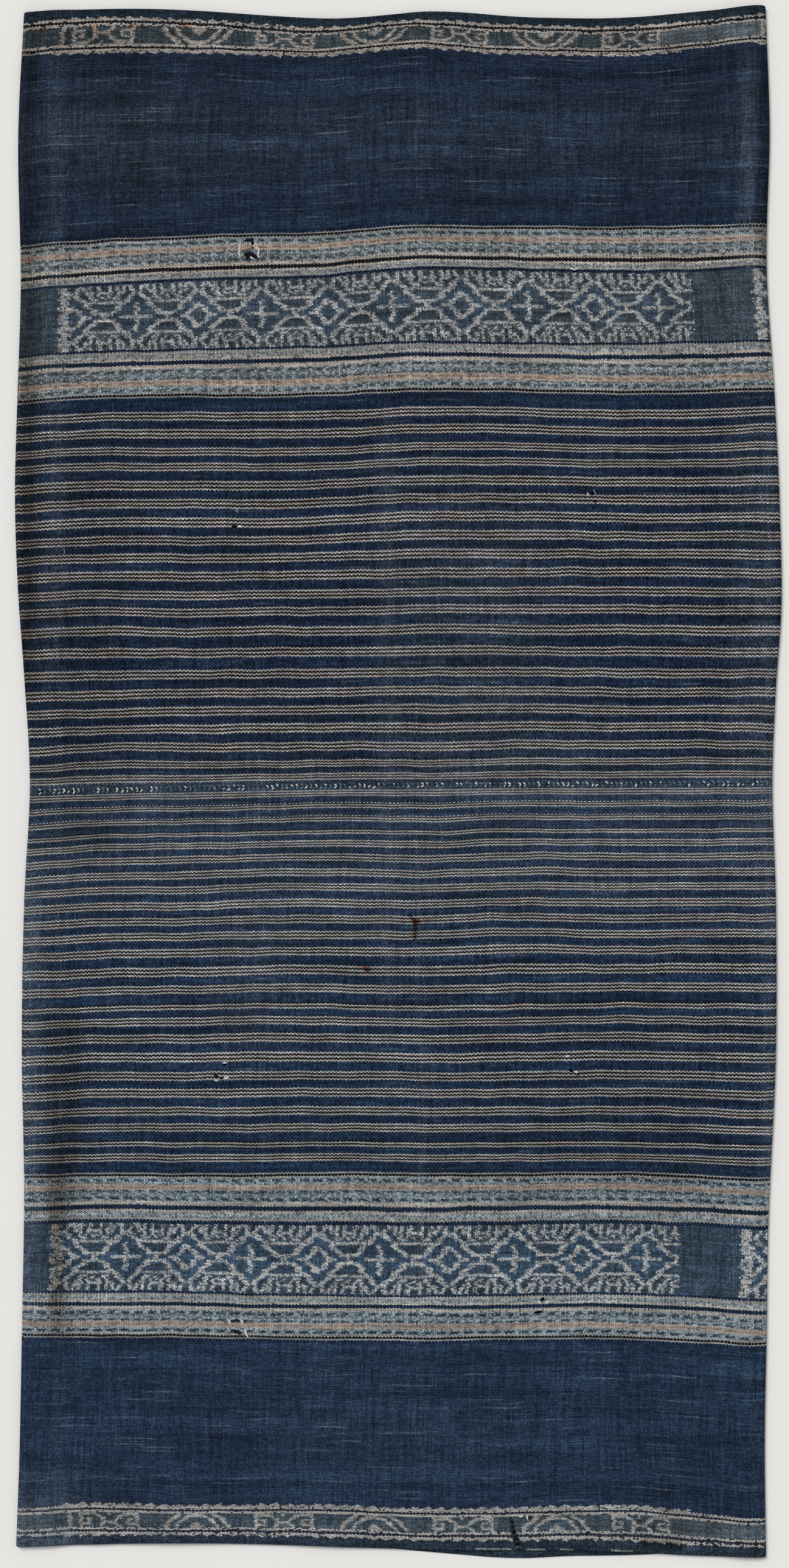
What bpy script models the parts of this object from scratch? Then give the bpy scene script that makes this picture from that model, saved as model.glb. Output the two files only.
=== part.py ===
"""A handwoven tube skirt cloth of two loom lengths, pressed flat and lying on its back layer.

Each loom length is a loop of cloth: a front and a back layer that run into each other round a soft fold at
either side. The two loops meet edge to edge at a sewn seam across the middle. +X is to the right, +Y is towards
the top hem and +Z is up. The origin is under the middle of the cloth, on the surface that it lies on. Sizes are
in metres, but the tables are in millimetres.
"""

import math

import bpy
import numpy as np

MM = 0.001

# The cloth and the way it is pressed.
CLOTH = 1.2 * MM  # thickness of one layer
LAYER_GAP = 1.2 * MM  # air between the two layers, away from the folds
FOLD_RADIUS = 2.2 * MM  # radius of the middle of the cloth as it turns round a side fold
FOLD_EASE = 40 * MM  # the front layer comes down from a fold to its own level over this
SEAM_GAP = 0.3 * MM  # the panels' edges stand this far apart along the seam
BACK_TUCK = 2 * MM  # the back layer's top hem stays this far inside the front one

# The outline, read along each side from the top hem down. Columns: height Y, edge X, both in mm.
LEFT_EDGE = (
    (670, -326),
    (570, -331),
    (425, -329),
    (331, -332),
    (250, -334),
    (170, -331.5),
    (93, -326),
    (0, -321),
    (-98, -325.7),
    (-240, -328),
    (-352, -326),
    (-480, -328),
    (-600, -330.5),
    (-667, -333),
)
RIGHT_EDGE = (
    (676, 320),
    (570, 323.6),
    (450, 321),
    (331, 328.3),
    (236, 332.6),
    (151, 333.8),
    (80, 329),
    (0, 326),
    (-100, 329),
    (-240, 329),
    (-384, 322.5),
    (-480, 321),
    (-575, 319.3),
    (-676, 320.5),
)
# The hems and the seam, read from left to right. Columns: X, height Y, both in mm.
TOP_HEM = (
    (-330, 669.5),
    (-290, 672),
    (-170, 671.5),
    (-110, 667.5),
    (-55, 664.5),
    (40, 671),
    (130, 665.2),
    (215, 666.2),
    (262, 670),
    (320, 676),
)
BOTTOM_HEM = (
    (-333, -666.2),
    (-270, -664),
    (-198, -662.5),
    (-75, -664.6),
    (0, -667.2),
    (60, -668.4),
    (120, -669),
    (183, -669),
    (225, -670.8),
    (250, -672.6),
    (320, -674.7),
)
SEAM = (
    (-321, -8.5),
    (-160, -5),
    (0, -2.7),
    (160, -1.8),
    (326, -1.1),
)
# How far the back layer's bottom hem shows below the front one. Less than none is tucked in. Columns, in mm:
# X, depth shown.
BACK_SHOWS = ((-30, -2), (20, 1.5), (60, 4.2), (95, 6.6), (120, 7), (150, 5.6), (190, 4.6), (220, 2.6), (255, -2))

# The soft rolls along the side folds. Columns: height Y in mm, crest height in mm over the front layer.
LEFT_ROLL = ((676, 2.5), (600, 4.5), (300, 5), (100, 4.5), (-40, 2.2), (-300, 2.6), (-676, 1.8))
RIGHT_ROLL = ((676, 3), (600, 4), (430, 3.4), (300, 2), (0, 1.8), (-300, 2.2), (-676, 2))
LEFT_CREST = 27 * MM  # from the left fold to the crest of its roll
RIGHT_CREST = 20 * MM
ROLL_REACH = 24 * MM  # from a crest to where its roll has gone

# Ridges that run the length of the cloth, pressed in by old folding. Columns, in mm: X, crest height, half
# width, height Y where it starts, height Y where it ends. One that starts or ends past a hem runs out over it.
RIDGES = (
    ("centre crease", 19, 1.3, 22, 760, -540),
    ("left crease", -262, 1.0, 20, 230, -760),
)
# Cockles in the hems, which fade away into the cloth. Columns, in mm: hem, X, crest height, half width.
COCKLES = (
    ("top", -215, 1.6, 60),
    ("top", -55, 2.2, 60),
    ("top", 130, 2.4, 55),
    ("top", 255, 1.5, 50),
    ("bottom", -198, 2.2, 65),
    ("bottom", -60, 2.0, 50),
    ("bottom", 62, 1.8, 45),
    ("bottom", 185, 2.6, 55),
)
COCKLE_FADE = 90 * MM
RIDGE_FADE = 80  # a ridge that ends short of a hem fades away over this, in mm

# How each loop is divided. A stretch of the front layer ends at a share of the width, and has some facets.
FRONT_STRETCHES = ((0.045, 3), (0.09, 3), (0.505, 9), (0.57, 4), (0.91, 7), (0.97, 4), (1.0, 2))
FOLD_FACETS = 4
BACK_FACETS = 14
ROWS = 14  # from the hem to the seam
ROWS_CLOSER = 1.35  # above 1, rows lie closer together near the hem
ROUGHNESS = 0.9
SHARP_ANGLE = math.radians(50)  # the cut edges stay sharp, and the rest is smooth

# Panel name, hem, colour.
PANELS = (
    ("upper_panel", "top", (0.030, 0.045, 0.075, 1)),
    ("lower_panel", "bottom", (0.040, 0.062, 0.100, 1)),
)


def smooth_value(table, at):
    """Reads a two-column table in mm with a smooth curve through its rows. Takes and gives metres."""
    rows = sorted(table)
    xs = np.array([row[0] for row in rows]) * MM
    ys = np.array([row[1] for row in rows]) * MM
    slopes = np.gradient(ys, xs)
    at = min(max(at, xs[0]), xs[-1])
    k = min(int(np.searchsorted(xs, at, side="right")) - 1, len(xs) - 2)
    width = xs[k + 1] - xs[k]
    t = (at - xs[k]) / width
    rise = ys[k] * (1 + 2 * t) * (1 - t) ** 2 + ys[k + 1] * t * t * (3 - 2 * t)
    bend = slopes[k] * t * (1 - t) ** 2 - slopes[k + 1] * t * t * (1 - t)
    return float(rise + bend * width)


def soft_bump(distance, reach):
    """1 at the middle of a bump, falling softly to 0 at its reach."""
    if abs(distance) >= reach:
        return 0.0
    return 0.5 + 0.5 * math.cos(math.pi * distance / reach)


def seam_height(x, hem):
    """Where a panel's edge lies along the seam: half the gap above it or below it."""
    side = 1 if hem == "top" else -1
    return smooth_value(SEAM, x) + side * SEAM_GAP / 2


def hem_height(x, hem, front):
    """Where a panel's selvedge lies on the front layer, 1, the back layer, 0, or part way round a fold.

    The back layer keeps inside the front one, or shows a little below it.
    """
    if hem == "top":
        return smooth_value(TOP_HEM, x) - BACK_TUCK * (1 - front)
    return smooth_value(BOTTOM_HEM, x) - smooth_value(BACK_SHOWS, x) * (1 - front)


def front_rise(x, y, left, right):
    """How far the front layer stands above its flat level: rolls at the folds, ridges and hem cockles."""
    rise = smooth_value(LEFT_ROLL, y) * soft_bump(x - left - LEFT_CREST, ROLL_REACH)
    rise += smooth_value(RIGHT_ROLL, y) * soft_bump(right - x - RIGHT_CREST, ROLL_REACH)
    for _, centre, crest, reach, start, end in RIDGES:
        fade = np.interp(y / MM, (end, end + RIDGE_FADE, start - RIDGE_FADE, start), (0, 1, 1, 0))
        rise += crest * MM * fade * soft_bump(x - centre * MM, reach * MM)
    for hem, centre, crest, reach in COCKLES:
        depth = abs(hem_height(x, hem, 1) - y)
        rise += crest * MM * soft_bump(depth, COCKLE_FADE) * soft_bump(x - centre * MM, reach * MM)
    return rise


def front_level(x, left, right):
    """Height of the middle of the front layer without its relief: high at the folds, then lower."""
    flat = 1.5 * CLOTH + LAYER_GAP
    fold_top = CLOTH / 2 + 2 * FOLD_RADIUS
    nearest = min(x - left, right - x) - FOLD_RADIUS
    return flat + (fold_top - flat) * soft_bump(max(nearest, 0), FOLD_EASE)


def loop_stations():
    """The places round a loop: (part of the loop, share of the way along it), front layer first."""
    stations = []
    start = 0.0
    for end, facets in FRONT_STRETCHES:
        stations += [("front", start + (end - start) * k / facets) for k in range(facets)]
        start = end
    stations += [("right fold", k / FOLD_FACETS) for k in range(FOLD_FACETS)]
    stations += [("back", 1 - k / BACK_FACETS) for k in range(BACK_FACETS)]
    stations += [("left fold", k / FOLD_FACETS) for k in range(FOLD_FACETS)]
    return stations


def loop_point(part, share, hem, along):
    """A point on the middle of the cloth, along from the hem, 0, to the seam, 1."""
    across = {"right fold": 1.0, "left fold": 0.0}.get(part, share)
    front = {"front": 1.0, "back": 0.0, "right fold": 1 - share, "left fold": share}[part]
    seam_left = SEAM[0][0] * MM
    seam_right = SEAM[-1][0] * MM
    near_x = seam_left + (seam_right - seam_left) * across
    hem_y = hem_height(near_x, hem, front)
    y = hem_y + (seam_height(near_x, hem) - hem_y) * along
    left = smooth_value(LEFT_EDGE, y) + CLOTH / 2
    right = smooth_value(RIGHT_EDGE, y) - CLOTH / 2
    if part in ("front", "back"):
        inner = right - left - 2 * FOLD_RADIUS
        x = left + FOLD_RADIUS + inner * share
        level = front_level(x, left, right) + front_rise(x, y, left, right)
        return x, y, level if part == "front" else CLOTH / 2
    turn = math.pi * share
    if part == "right fold":
        x = right - FOLD_RADIUS + FOLD_RADIUS * math.sin(turn)
        return x, y, CLOTH / 2 + FOLD_RADIUS * (1 + math.cos(turn))
    x = left + FOLD_RADIUS - FOLD_RADIUS * math.sin(turn)
    return x, y, CLOTH / 2 + FOLD_RADIUS * (1 - math.cos(turn))


def skin(loop, side):
    """One face of the cloth: the loop of middle points moved half a thickness out, side 1, or in, side -1."""
    points = np.array(loop)
    ahead = np.roll(points, -1, axis=0) - points
    behind = points - np.roll(points, 1, axis=0)
    ahead /= np.linalg.norm(ahead[:, [0, 2]], axis=1)[:, None]
    behind /= np.linalg.norm(behind[:, [0, 2]], axis=1)[:, None]
    tangent = ahead + behind
    normal = np.stack([-tangent[:, 2], np.zeros(len(points)), tangent[:, 0]], axis=1)
    normal /= np.linalg.norm(normal, axis=1)[:, None]
    spread = normal[:, 0] * -ahead[:, 2] + normal[:, 2] * ahead[:, 0]
    moved = points + normal * (side * CLOTH / 2 / spread)[:, None]
    lies_flat = np.isclose(points[:, 2], CLOTH / 2)
    moved[lies_flat, 2] = 0.0 if side > 0 else CLOTH
    return moved


def panel_mesh(name, hem):
    """A closed mesh of one loop: an outer and an inner skin, joined at the hem and at the seam."""
    stations = loop_stations()
    count = len(stations)
    outer = []
    inner = []
    for row in range(ROWS + 1):
        along = (row / ROWS) ** ROWS_CLOSER
        loop = [loop_point(part, share, hem, along) for part, share in stations]
        outer.append(skin(loop, 1))
        inner.append(skin(loop, -1))
    points = np.concatenate(outer + inner)
    inner_start = (ROWS + 1) * count
    faces = []
    for k in range(count):
        after = (k + 1) % count
        for row in range(ROWS):
            a, b = row * count, (row + 1) * count
            faces.append((a + k, b + k, b + after, a + after))
            faces.append(tuple(inner_start + p for p in (a + after, b + after, b + k, a + k)))
        last = ROWS * count
        faces.append((k, after, inner_start + after, inner_start + k))
        faces.append((last + after, last + k, inner_start + last + k, inner_start + last + after))
    if hem == "bottom":
        faces = [face[::-1] for face in faces]
    mesh = bpy.data.meshes.new(name)
    mesh.from_pydata(points.tolist(), [], faces)
    mesh.shade_smooth()
    mesh.set_sharp_from_angle(angle=SHARP_ANGLE)
    return mesh


def woven_cotton(name, colour):
    """Plain indigo-dyed cotton."""
    material = bpy.data.materials.new(name)
    material.use_nodes = True
    shader = material.node_tree.nodes["Principled BSDF"]
    shader.inputs["Base Color"].default_value = colour
    shader.inputs["Roughness"].default_value = ROUGHNESS
    shader.inputs["Metallic"].default_value = 0.0
    return material


def centre_on_origin(objects):
    """Moves the points, not the objects, so that the middle of the cloth's box is over the origin."""
    corners = np.array([v.co[:] for obj in objects for v in obj.data.vertices])
    middle = (corners.min(axis=0) + corners.max(axis=0)) / 2
    for obj in objects:
        for vertex in obj.data.vertices:
            vertex.co.x -= middle[0]
            vertex.co.y -= middle[1]


def main():
    for obj in list(bpy.data.objects):
        bpy.data.objects.remove(obj, do_unlink=True)
    panels = []
    for name, hem, colour in PANELS:
        panel = bpy.data.objects.new(name, panel_mesh(name, hem))
        panel.data.materials.append(woven_cotton(name + "_cotton", colour))
        bpy.context.scene.collection.objects.link(panel)
        panels.append(panel)
    centre_on_origin(panels)


main()
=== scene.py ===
"""The looks of a handwoven tube skirt cloth, laid flat: two ikat and pinstripe panels with a hand-sewn seam.

The cloth is warp-faced: its warp runs from side to side and shows on top, and its weft runs from hem to hem.
Every colour in it is decided end by end, as on the loom: a pair of white ends beside each other makes a zigzag
line, a single one makes dots, and the ikat motifs are charted strokes whose edges slip a little from end to end.
Tables are in millimetres. Everything else is in metres.
"""

import math

import bpy
import numpy as np
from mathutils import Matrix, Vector, noise


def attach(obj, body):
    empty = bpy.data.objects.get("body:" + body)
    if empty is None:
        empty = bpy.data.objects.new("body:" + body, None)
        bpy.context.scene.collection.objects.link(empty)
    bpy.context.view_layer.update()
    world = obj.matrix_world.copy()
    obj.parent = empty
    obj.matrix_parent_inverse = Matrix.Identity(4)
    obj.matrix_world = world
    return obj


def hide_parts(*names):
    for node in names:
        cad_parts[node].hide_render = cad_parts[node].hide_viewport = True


bl_info = {
    "name": "Ikat tube skirt cloth",
    "version": (1, 0, 0),
    "blender": (4, 5, 0),
    "location": "3D View > Sidebar > Cloth",
    "description": "Weaves, sews and lights a two-panel ikat tube skirt cloth",
    "category": "Object",
}

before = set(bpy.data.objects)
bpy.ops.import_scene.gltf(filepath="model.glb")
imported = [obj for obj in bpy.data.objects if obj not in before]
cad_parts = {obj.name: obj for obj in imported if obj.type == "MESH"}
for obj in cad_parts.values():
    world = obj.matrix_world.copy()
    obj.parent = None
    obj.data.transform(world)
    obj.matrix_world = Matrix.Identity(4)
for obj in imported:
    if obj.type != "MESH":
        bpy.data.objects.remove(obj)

MM = 0.001

# The cloth and the way it is pressed, as in the solid panels.
CLOTH = 1.2 * MM
LAYER_GAP = 1.2 * MM
FOLD_RADIUS = 2.2 * MM
FOLD_EASE = 40 * MM
SEAM_GAP = 0.3 * MM
BACK_TUCK = 2 * MM
LEFT_CREST = 27 * MM
RIGHT_CREST = 20 * MM
ROLL_REACH = 24 * MM
COCKLE_FADE = 90 * MM
RIDGE_FADE = 80
FRONT_WIDTH = 655 * MM  # along the warp, from fold to fold

# The outline. Columns, in mm: height Y, edge X.
LEFT_EDGE = (
    (670, -326), (570, -331), (425, -329), (331, -332), (250, -334), (170, -331.5), (93, -326), (0, -321),
    (-98, -325.7), (-240, -328), (-352, -326), (-480, -328), (-600, -330.5), (-667, -333),
)
RIGHT_EDGE = (
    (676, 320), (570, 323.6), (450, 321), (331, 328.3), (236, 332.6), (151, 333.8), (80, 329), (0, 326),
    (-100, 329), (-240, 329), (-384, 322.5), (-480, 321), (-575, 319.3), (-676, 320.5),
)
# The hems and the seam. Columns, in mm: X, height Y.
TOP_HEM = (
    (-330, 669.5), (-290, 672), (-170, 671.5), (-110, 667.5), (-55, 664.5), (40, 671), (130, 665.2),
    (215, 666.2), (262, 670), (320, 676),
)
BOTTOM_HEM = (
    (-333, -666.2), (-270, -664), (-198, -662.5), (-75, -664.6), (0, -667.2), (60, -668.4), (120, -669),
    (183, -669), (225, -670.8), (250, -672.6), (320, -674.7),
)
SEAM = ((-321, -8.5), (-160, -5), (0, -2.7), (160, -1.8), (326, -1.1))
# How far the back layer's bottom hem shows below the front one. Columns, in mm: X, depth shown.
BACK_SHOWS = ((-30, -2), (20, 1.5), (60, 4.2), (95, 6.6), (120, 7), (150, 5.6), (190, 4.6), (220, 2.6), (255, -2))
# The soft rolls along the side folds. Columns, in mm: height Y, crest height.
LEFT_ROLL = ((676, 2.5), (600, 4.5), (300, 5), (100, 4.5), (-40, 2.2), (-300, 2.6), (-676, 1.8))
RIGHT_ROLL = ((676, 3), (600, 4), (430, 3.4), (300, 2), (0, 1.8), (-300, 2.2), (-676, 2))
# Creases from old folding. Columns, in mm: X, crest height, half width, start Y, end Y. The last three are fine
# ones that the solid panels leave out. A crest below zero is a trough.
RIDGES = (
    ("centre crease", 19, 1.3, 22, 760, -540),
    ("left crease", -262, 1.0, 20, 230, -760),
    ("fine left fold", -289, -0.7, 8, 240, -20),
    ("fine lower left fold", -300, -0.6, 9, -200, -360),
    ("fine right fold", 300, -0.5, 9, 660, 380),
)
# Columns: hem, then in mm X, crest height, half width.
COCKLES = (
    ("top", -215, 1.6, 60), ("top", -55, 2.2, 60), ("top", 130, 2.4, 55), ("top", 255, 1.5, 50),
    ("bottom", -198, 2.2, 65), ("bottom", -60, 2.0, 50), ("bottom", 62, 1.8, 45), ("bottom", 185, 2.6, 55),
)
UNEVEN = 0.35 * MM  # the cloth lies this much out of flat between its creases
UNEVEN_LENGTH = 70 * MM
UNSTEADY = 0.85 * MM  # the warp lines stray this much from their charted waves

# The loom chart. Chart depths are in mm on the loom, heights are where they lie at the middle of the cloth.
# Border columns: depth from the selvedge, height Y. Band columns: distance from the middle of the ikat band,
# towards the hem, height Y. Groups are the heights of the middles of the pinstripe groups, from band to seam.
UPPER_LINES = {
    "border": ((0, 668.3), (10.8, 657.5), (34, 640.8), (44, 633.6)),
    "band": (
        (76.8, 486.2), (71.2, 481.2), (41.6, 454.7), (32, 445), (-32, 381.3), (-41.6, 371), (-71.2, 341.3),
        (-76.8, 335.7),
    ),
    "groups": (
        321.7, 306.3, 291, 277.7, 261.3, 245.4, 229.5, 213.6, 198.2, 182.3, 165.9, 151, 133.6, 115, 95.9, 79,
        63.1, 47.7, 31.8, 17, 5.4,
    ),
}
LOWER_LINES = {
    "border": ((0, -667.8), (10.8, -653.8), (34, -634.7), (44, -626.5)),
    "band": (
        (76.8, -489), (71.2, -483.9), (41.6, -457.1), (32, -447.3), (-32, -384.5), (-41.6, -371),
        (-71.2, -342.1), (-76.8, -336.6),
    ),
    "groups": (
        -326.5, -313.8, -300.5, -286.2, -270.3, -255.5, -239, -222.6, -207.8, -194, -179.7, -163.8, -147.3,
        -133, -119.3, -105.5, -91.2, -78.4, -65.2, -53, -41.9, -30.7, -19.1, -8.5,
    ),
}
# How far the warp lines wander from level, in mm. Columns: height Y, then the rise at each station.
WAVE_STATIONS = (-326, -267, -172, -61, 13, 88, 199, 316)
UPPER_WAVES = (
    (657.5, -1, 3.5, 2.5, -4.5, 2, -1, -3.5, 7),
    (641, -6.5, -2.5, -2, -5, 2, -2, -4.5, 5.5),
    (481, -17, -12, -7, -4, 1.5, 1.5, 0.5, 3),
    (445, -18, -12.5, -7.5, -4.5, 2, 2, -0.5, 2.5),
    (381, -12, -7.5, -5, -2.5, 1.5, 1, 0, 2),
    (371, -12.5, -8.5, -6, -3.5, 1, 1, -2, 0),
    (341, -10.5, -6, -4.5, -3, 1, 1, -1.5, 1),
    (314, -8, -4, -3.5, -3, 0.5, 1.5, -2, 1.5),
    (237.5, -8.5, -4.5, -3.5, -2.5, 1.5, 1.5, 0.5, 0.5),
    (174, -7, -3.5, -4, -2, -1, 0, 0.5, -1),
    (124, -5, -3, -3.5, -2.5, -1, -1, -2, -2.5),
    (71, -6, -4, -1.5, -1, 0.5, 1, -0.5, -1),
    (24.5, -6.5, -1.5, -2.5, -0.5, -1, 0, 1, 0.5),
)
LOWER_WAVES = (
    (-36, -9, -4.5, -2.5, 0, -1, 1, 1, 1.5),
    (-85, -7, -3.5, -2, 0.5, -0.5, 1, 0.5, 1.5),
    (-140, -6, -3, -1, 1, 0, 2.5, 2, 2.5),
    (-201, -4.5, -2, 0, 0.5, -1, -0.5, 1.5, 0.5),
    (-263, -4, -0.5, 0, 0.5, 0, 0, 1, -1.5),
    (-342, -2, 0, -0.5, 0, 0, 0, 0.5, -4),
    (-371, -0.5, 2, 1, 0.5, 0, 0.5, 1.5, -3.5),
    (-384.5, 0, 2, 1, 0, 0, 0, 1.5, -4),
    (-447, 3.5, 3.5, 2.5, 0.5, -0.5, 0.5, 1.5, -3.5),
    (-457, 3.5, 3, 2, 0, 0, 0, 1, -5),
    (-484, 3.5, 3, 2, 0, 0, 0.5, 0.5, -5),
    (-635, 0, 2, 1, 1, -1, -1.5, 0.6, -9.2),
    (-654, 0.5, 2.5, 2.5, 1.5, -1.5, -2, -1, -9),
)
GROUP_PITCH = 16  # of the pinstripe groups on the chart
GROUP_HALF = 4.4  # half of a group's white and brown lines, on the chart
GROUP_SHARE = 0.285  # of the way to the next group that half a group takes
# Which groups differ, numbered from the band: two lines in place of three, or a line of dots on the seam's side.
TWO_LINES = {"upper": (), "lower": (2, 10, 21)}
DOTTED = {"upper": (), "lower": (22, 23)}
UNLINED = 3  # the kind of the plain stripe between the ikat band and the first group

# Where the motifs' middles lie, X in mm, and where the next warp repeat starts.
BORDER_HALF_REPEAT = 79.5  # from the hooked motif to the chevron
IKAT_HALF_REPEAT = 57.0  # from the cross to the ring
BORDER_START = -37.0  # where a warp repeat starts and ends, from the first motif
BORDER_END = 503.0
IKAT_START = -68.0
IKAT_END = 485.0
BORDER_BAR = 4.0  # width of the white bar at the start
IKAT_BAR = 6.5
BAR_BOW = {"upper": 1.0, "lower": 6.0}  # how far the bar's middle lies along from its ends
UPPER_MOTIFS = {
    "border": ((-257.8, -173.6, -99.4, -20.9, 53.3, 127.5, 201.7), 315.6),
    "band": ((-227.6, -174.1, -118.5, -60.7, -5, 55.9, 113.7, 171.5, 227.1), 310.3),
}
LOWER_MOTIFS = {
    "border": ((-251.5, -175.7, -100.4, -20.9, 55.9, 138.1, 210.7), 345.0),
    "band": ((-237.2, -184.2, -128.5, -69.7, -16.2, 44.8, 101.5, 159.8, 216), 297.6),
}

# Strips that are paler or darker: real wear and soil, with painted shade along the side folds and in the creases
# and painted highlight on the crests of the rolls and the centre crease. Columns: X, half width, start Y, end Y, in
# mm, lightening by wear and painted highlight, darkening by soil and painted shade.
WEAR_AND_PAINTED_LIGHT_STRIPS = (
    # The next three darken the left fold: soil, and painted shade where the roll turns down.
    ("left fold", -322, 17, 690, 60, 0.05, 0.8),
    ("left fold middle", -322, 15, 420, 60, 0.0, 0.2),
    ("left fold below", -324, 11, 130, -100, 0.0, 0.3),
    ("left fold pale", -322, 18, -40, -500, 0.36, 0.0),
    ("lower left corner", -315, 75, -590, -770, 0.45, 0.0),
    ("lower right soil", 245, 80, -480, -680, 0.0, 0.2),
    ("left shade", -268, 45, 340, -140, 0.0, 0.28),
    ("lower left shade", -290, 30, -160, -400, 0.0, 0.75),
    ("lower right shade", 180, 150, -160, -400, 0.0, 0.3),
    ("left plain shade", -235, 32, 660, 470, 0.0, 0.3),
    ("right plain shade", 258, 34, 660, 470, 0.0, 0.2),
    ("middle pale", 65, 125, 280, -40, 0.1, 0.0),
    ("beside the crease", -10, 14, 340, -240, 0.12, 0.0),
    ("lower middle pale", -125, 60, -80, -260, 0.1, 0.0),
    ("right side pale", 303, 28, 360, -80, 0.1, 0.0),
    # The next two lighten the crest of the left roll: wear, and painted highlight.
    ("left crest", -297, 13, 660, 60, 0.16, 0.0),
    ("left crest below", -296, 10, 60, -690, 0.08, 0.0),
    # The next two darken the troughs of the fine left folds: painted shade.
    ("left crease", -289, 3, 240, -10, 0.0, 0.35),
    ("lower left crease", -300, 4, -200, -360, 0.0, 0.35),
    # Painted shade where the right fold turns down.
    ("right fold", 319, 8, 660, 400, 0.0, 0.9),
    ("right fold pale", 322, 11, 340, -400, 0.2, 0.0),
    # Wear and painted highlight on the crest of the right roll.
    ("right crest", 304, 12, 670, 360, 0.27, 0.0),
    ("right soil", 230, 130, 640, 480, 0.0, 0.22),
    ("left soil", -230, 120, 640, 480, 0.06, 0.25),
    # Soil, and painted shadow along the left fold beside the lower ikat band.
    ("band crease", -297, 14, -310, -520, 0.0, 1.0),
    ("lower middle", 0, 190, -500, -620, 0.05, 0.0),
    ("lower band top", 80, 450, -280, -430, 0.0, 0.16),
    # The last two lighten the centre crease's crest: wear, and painted highlight.
    ("centre crease", 19, 4, 640, 420, 0.16, 0.0),
    ("lower centre crease", 19, 4, -30, -560, 0.22, 0.0),
)
STRIP_FADE = 60
WASHED_TOP = (562, 66, 0.09)  # height Y, reach, paling of the plain upper cloth
WASHED_SEAM = (-45, 110, 0.10)
WASHED_EDGES = (-4, 13, 0.22)

# How each panel is divided.
FRONT_COLUMNS = 124
FOLD_COLUMNS = 6
BACK_COLUMNS = 44
BORDER_ROWS = (0, 3.6, 7.2, 10.8, 16.6, 22.4, 28.2, 34, 39, 44)
PLAIN_ROWS = 18
BAND_STEP = 6.4
SHARP_ANGLE = math.radians(50)

END_PITCH = 0.8  # mm from one visible warp end to the next
WEFT_PITCH = 1.67

# Ends of a pinstripe group: white, brown, white, brown, white, then the blue ground. Columns: first end past the
# one before, white, brown.
GROUP_ENDS = ((0, 0, 0), (5, 1, 0), (7, 0, 1), (9, 1, 0), (11, 0, 1), (13, 1, 0), (15, 0, 0))
ENDS_IN_GROUP = 20

# Bands of the ikat stripe's two edges, the same on both. Columns: distance from the middle in mm, colour between
# the dashes, colour in the dashes, share of blue floats among them.
BAND_PROFILE = (
    (0, "field", "field", 0.0),
    (30.8, "indigo", "indigo", 0.0),
    (32.8, "white", "white", 0.0),
    (34.4, "grey", "grey", 0.35),
    (37.6, "cream", "cream", 0.1),
    (40.0, "indigo", "indigo", 0.0),
    (43.2, "cream", "cream", 0.1),
    (46.4, "mist", "mist", 0.4),
    (48.0, "mist", "dash", 0.25),
    (50.4, "mist", "mist", 0.5),
    (55.2, "mist", "dash", 0.35),
    (57.2, "tan", "tan", 0.08),
    (59.2, "tan", "rust", 0.05),
    (60.8, "tan", "tan", 0.08),
    (63.2, "mist", "mist", 0.3),
    (64.8, "mist", "dash", 0.15),
    (67.2, "mist", "mist", 0.25),
    (68.8, "white", "white", 0.05),
    (70.4, "brown", "brown", 0.0),
    (72.0, "white", "white", 0.0),
    (73.6, "indigo", "indigo", 0.0),
)
BAND_REACH = 80.0
BAND_FIELD = 30.9  # half of the ikat field between the edges
THICK_LINE = (30.7, 33.6)  # the inner line is thicker on the side that is uppermost in the picture
OUTER_LINE = (39.9, 43.3)
DASH_PITCH = 12.2
DASH_SHARE = 0.66
# Columns: depth from the selvedge in mm, colour, share of blue floats in it.
BORDER_PROFILE = (
    (0, "rim", 0.0),
    (7.9, "old white", 0.15),
    (9.6, "line", 0.0),
    (11.2, "old white", 0.2),
    (14.4, "hook", 0.0),
    (30.4, "old white", 0.1),
    (32.8, "line", 0.0),
    (35.0, "old white", 0.15),
    (37.6, "plain", 0.0),
)
BORDER_REACH = 44.0
SCALLOPS = ((8.1, -1.7), (37.8, 2.7))  # depth of their feet, and their height
SCALLOP_PITCH = 12.2
SCALLOPED = (BORDER_START - 8, BORDER_END + 18)
PALE_FROM = {"upper": 330.0, "lower": 0.0}  # along the warp

# Charted strokes, in mm: start x, start y, end x, end y, half width.
# Lozenge strokes are measured from the crossing between a cross and a ring, the others from their own middle.
LOZENGE_STROKES = (
    (7.5, 4, 26, 22.5, 2.0),
    (26, 22.5, 23, 29, 1.7),
    (0, 3.6, 8, 3.6, 1.1),
    (0, 0, 3.5, 3.2, 0.8),
    (0, 14.2, 13.5, 14.2, 1.2),
    (12.5, 29, 11.5, 18, 1.6),
    (11.5, 18, 7.5, 17.5, 1.2),
    (5, 29, 5, 20.5, 1.6),
    (5, 24, 0, 23.5, 1.1),
    (0, 19, 0, 19, 1.7),
    (18.5, 29.5, 16, 23.5, 1.6),
)
CROSS_STROKES = (
    (0, 0, 12.5, 0, 1.4),
    (0, 0, 0, 11.5, 1.9),
)
RING_STROKES = (
    (10.5, 0, 1.5, 10, 1.9),
    (1.5, 10, 0, 10, 1.9),
    (15.5, 0, 11, 0, 1.2),
)
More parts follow.
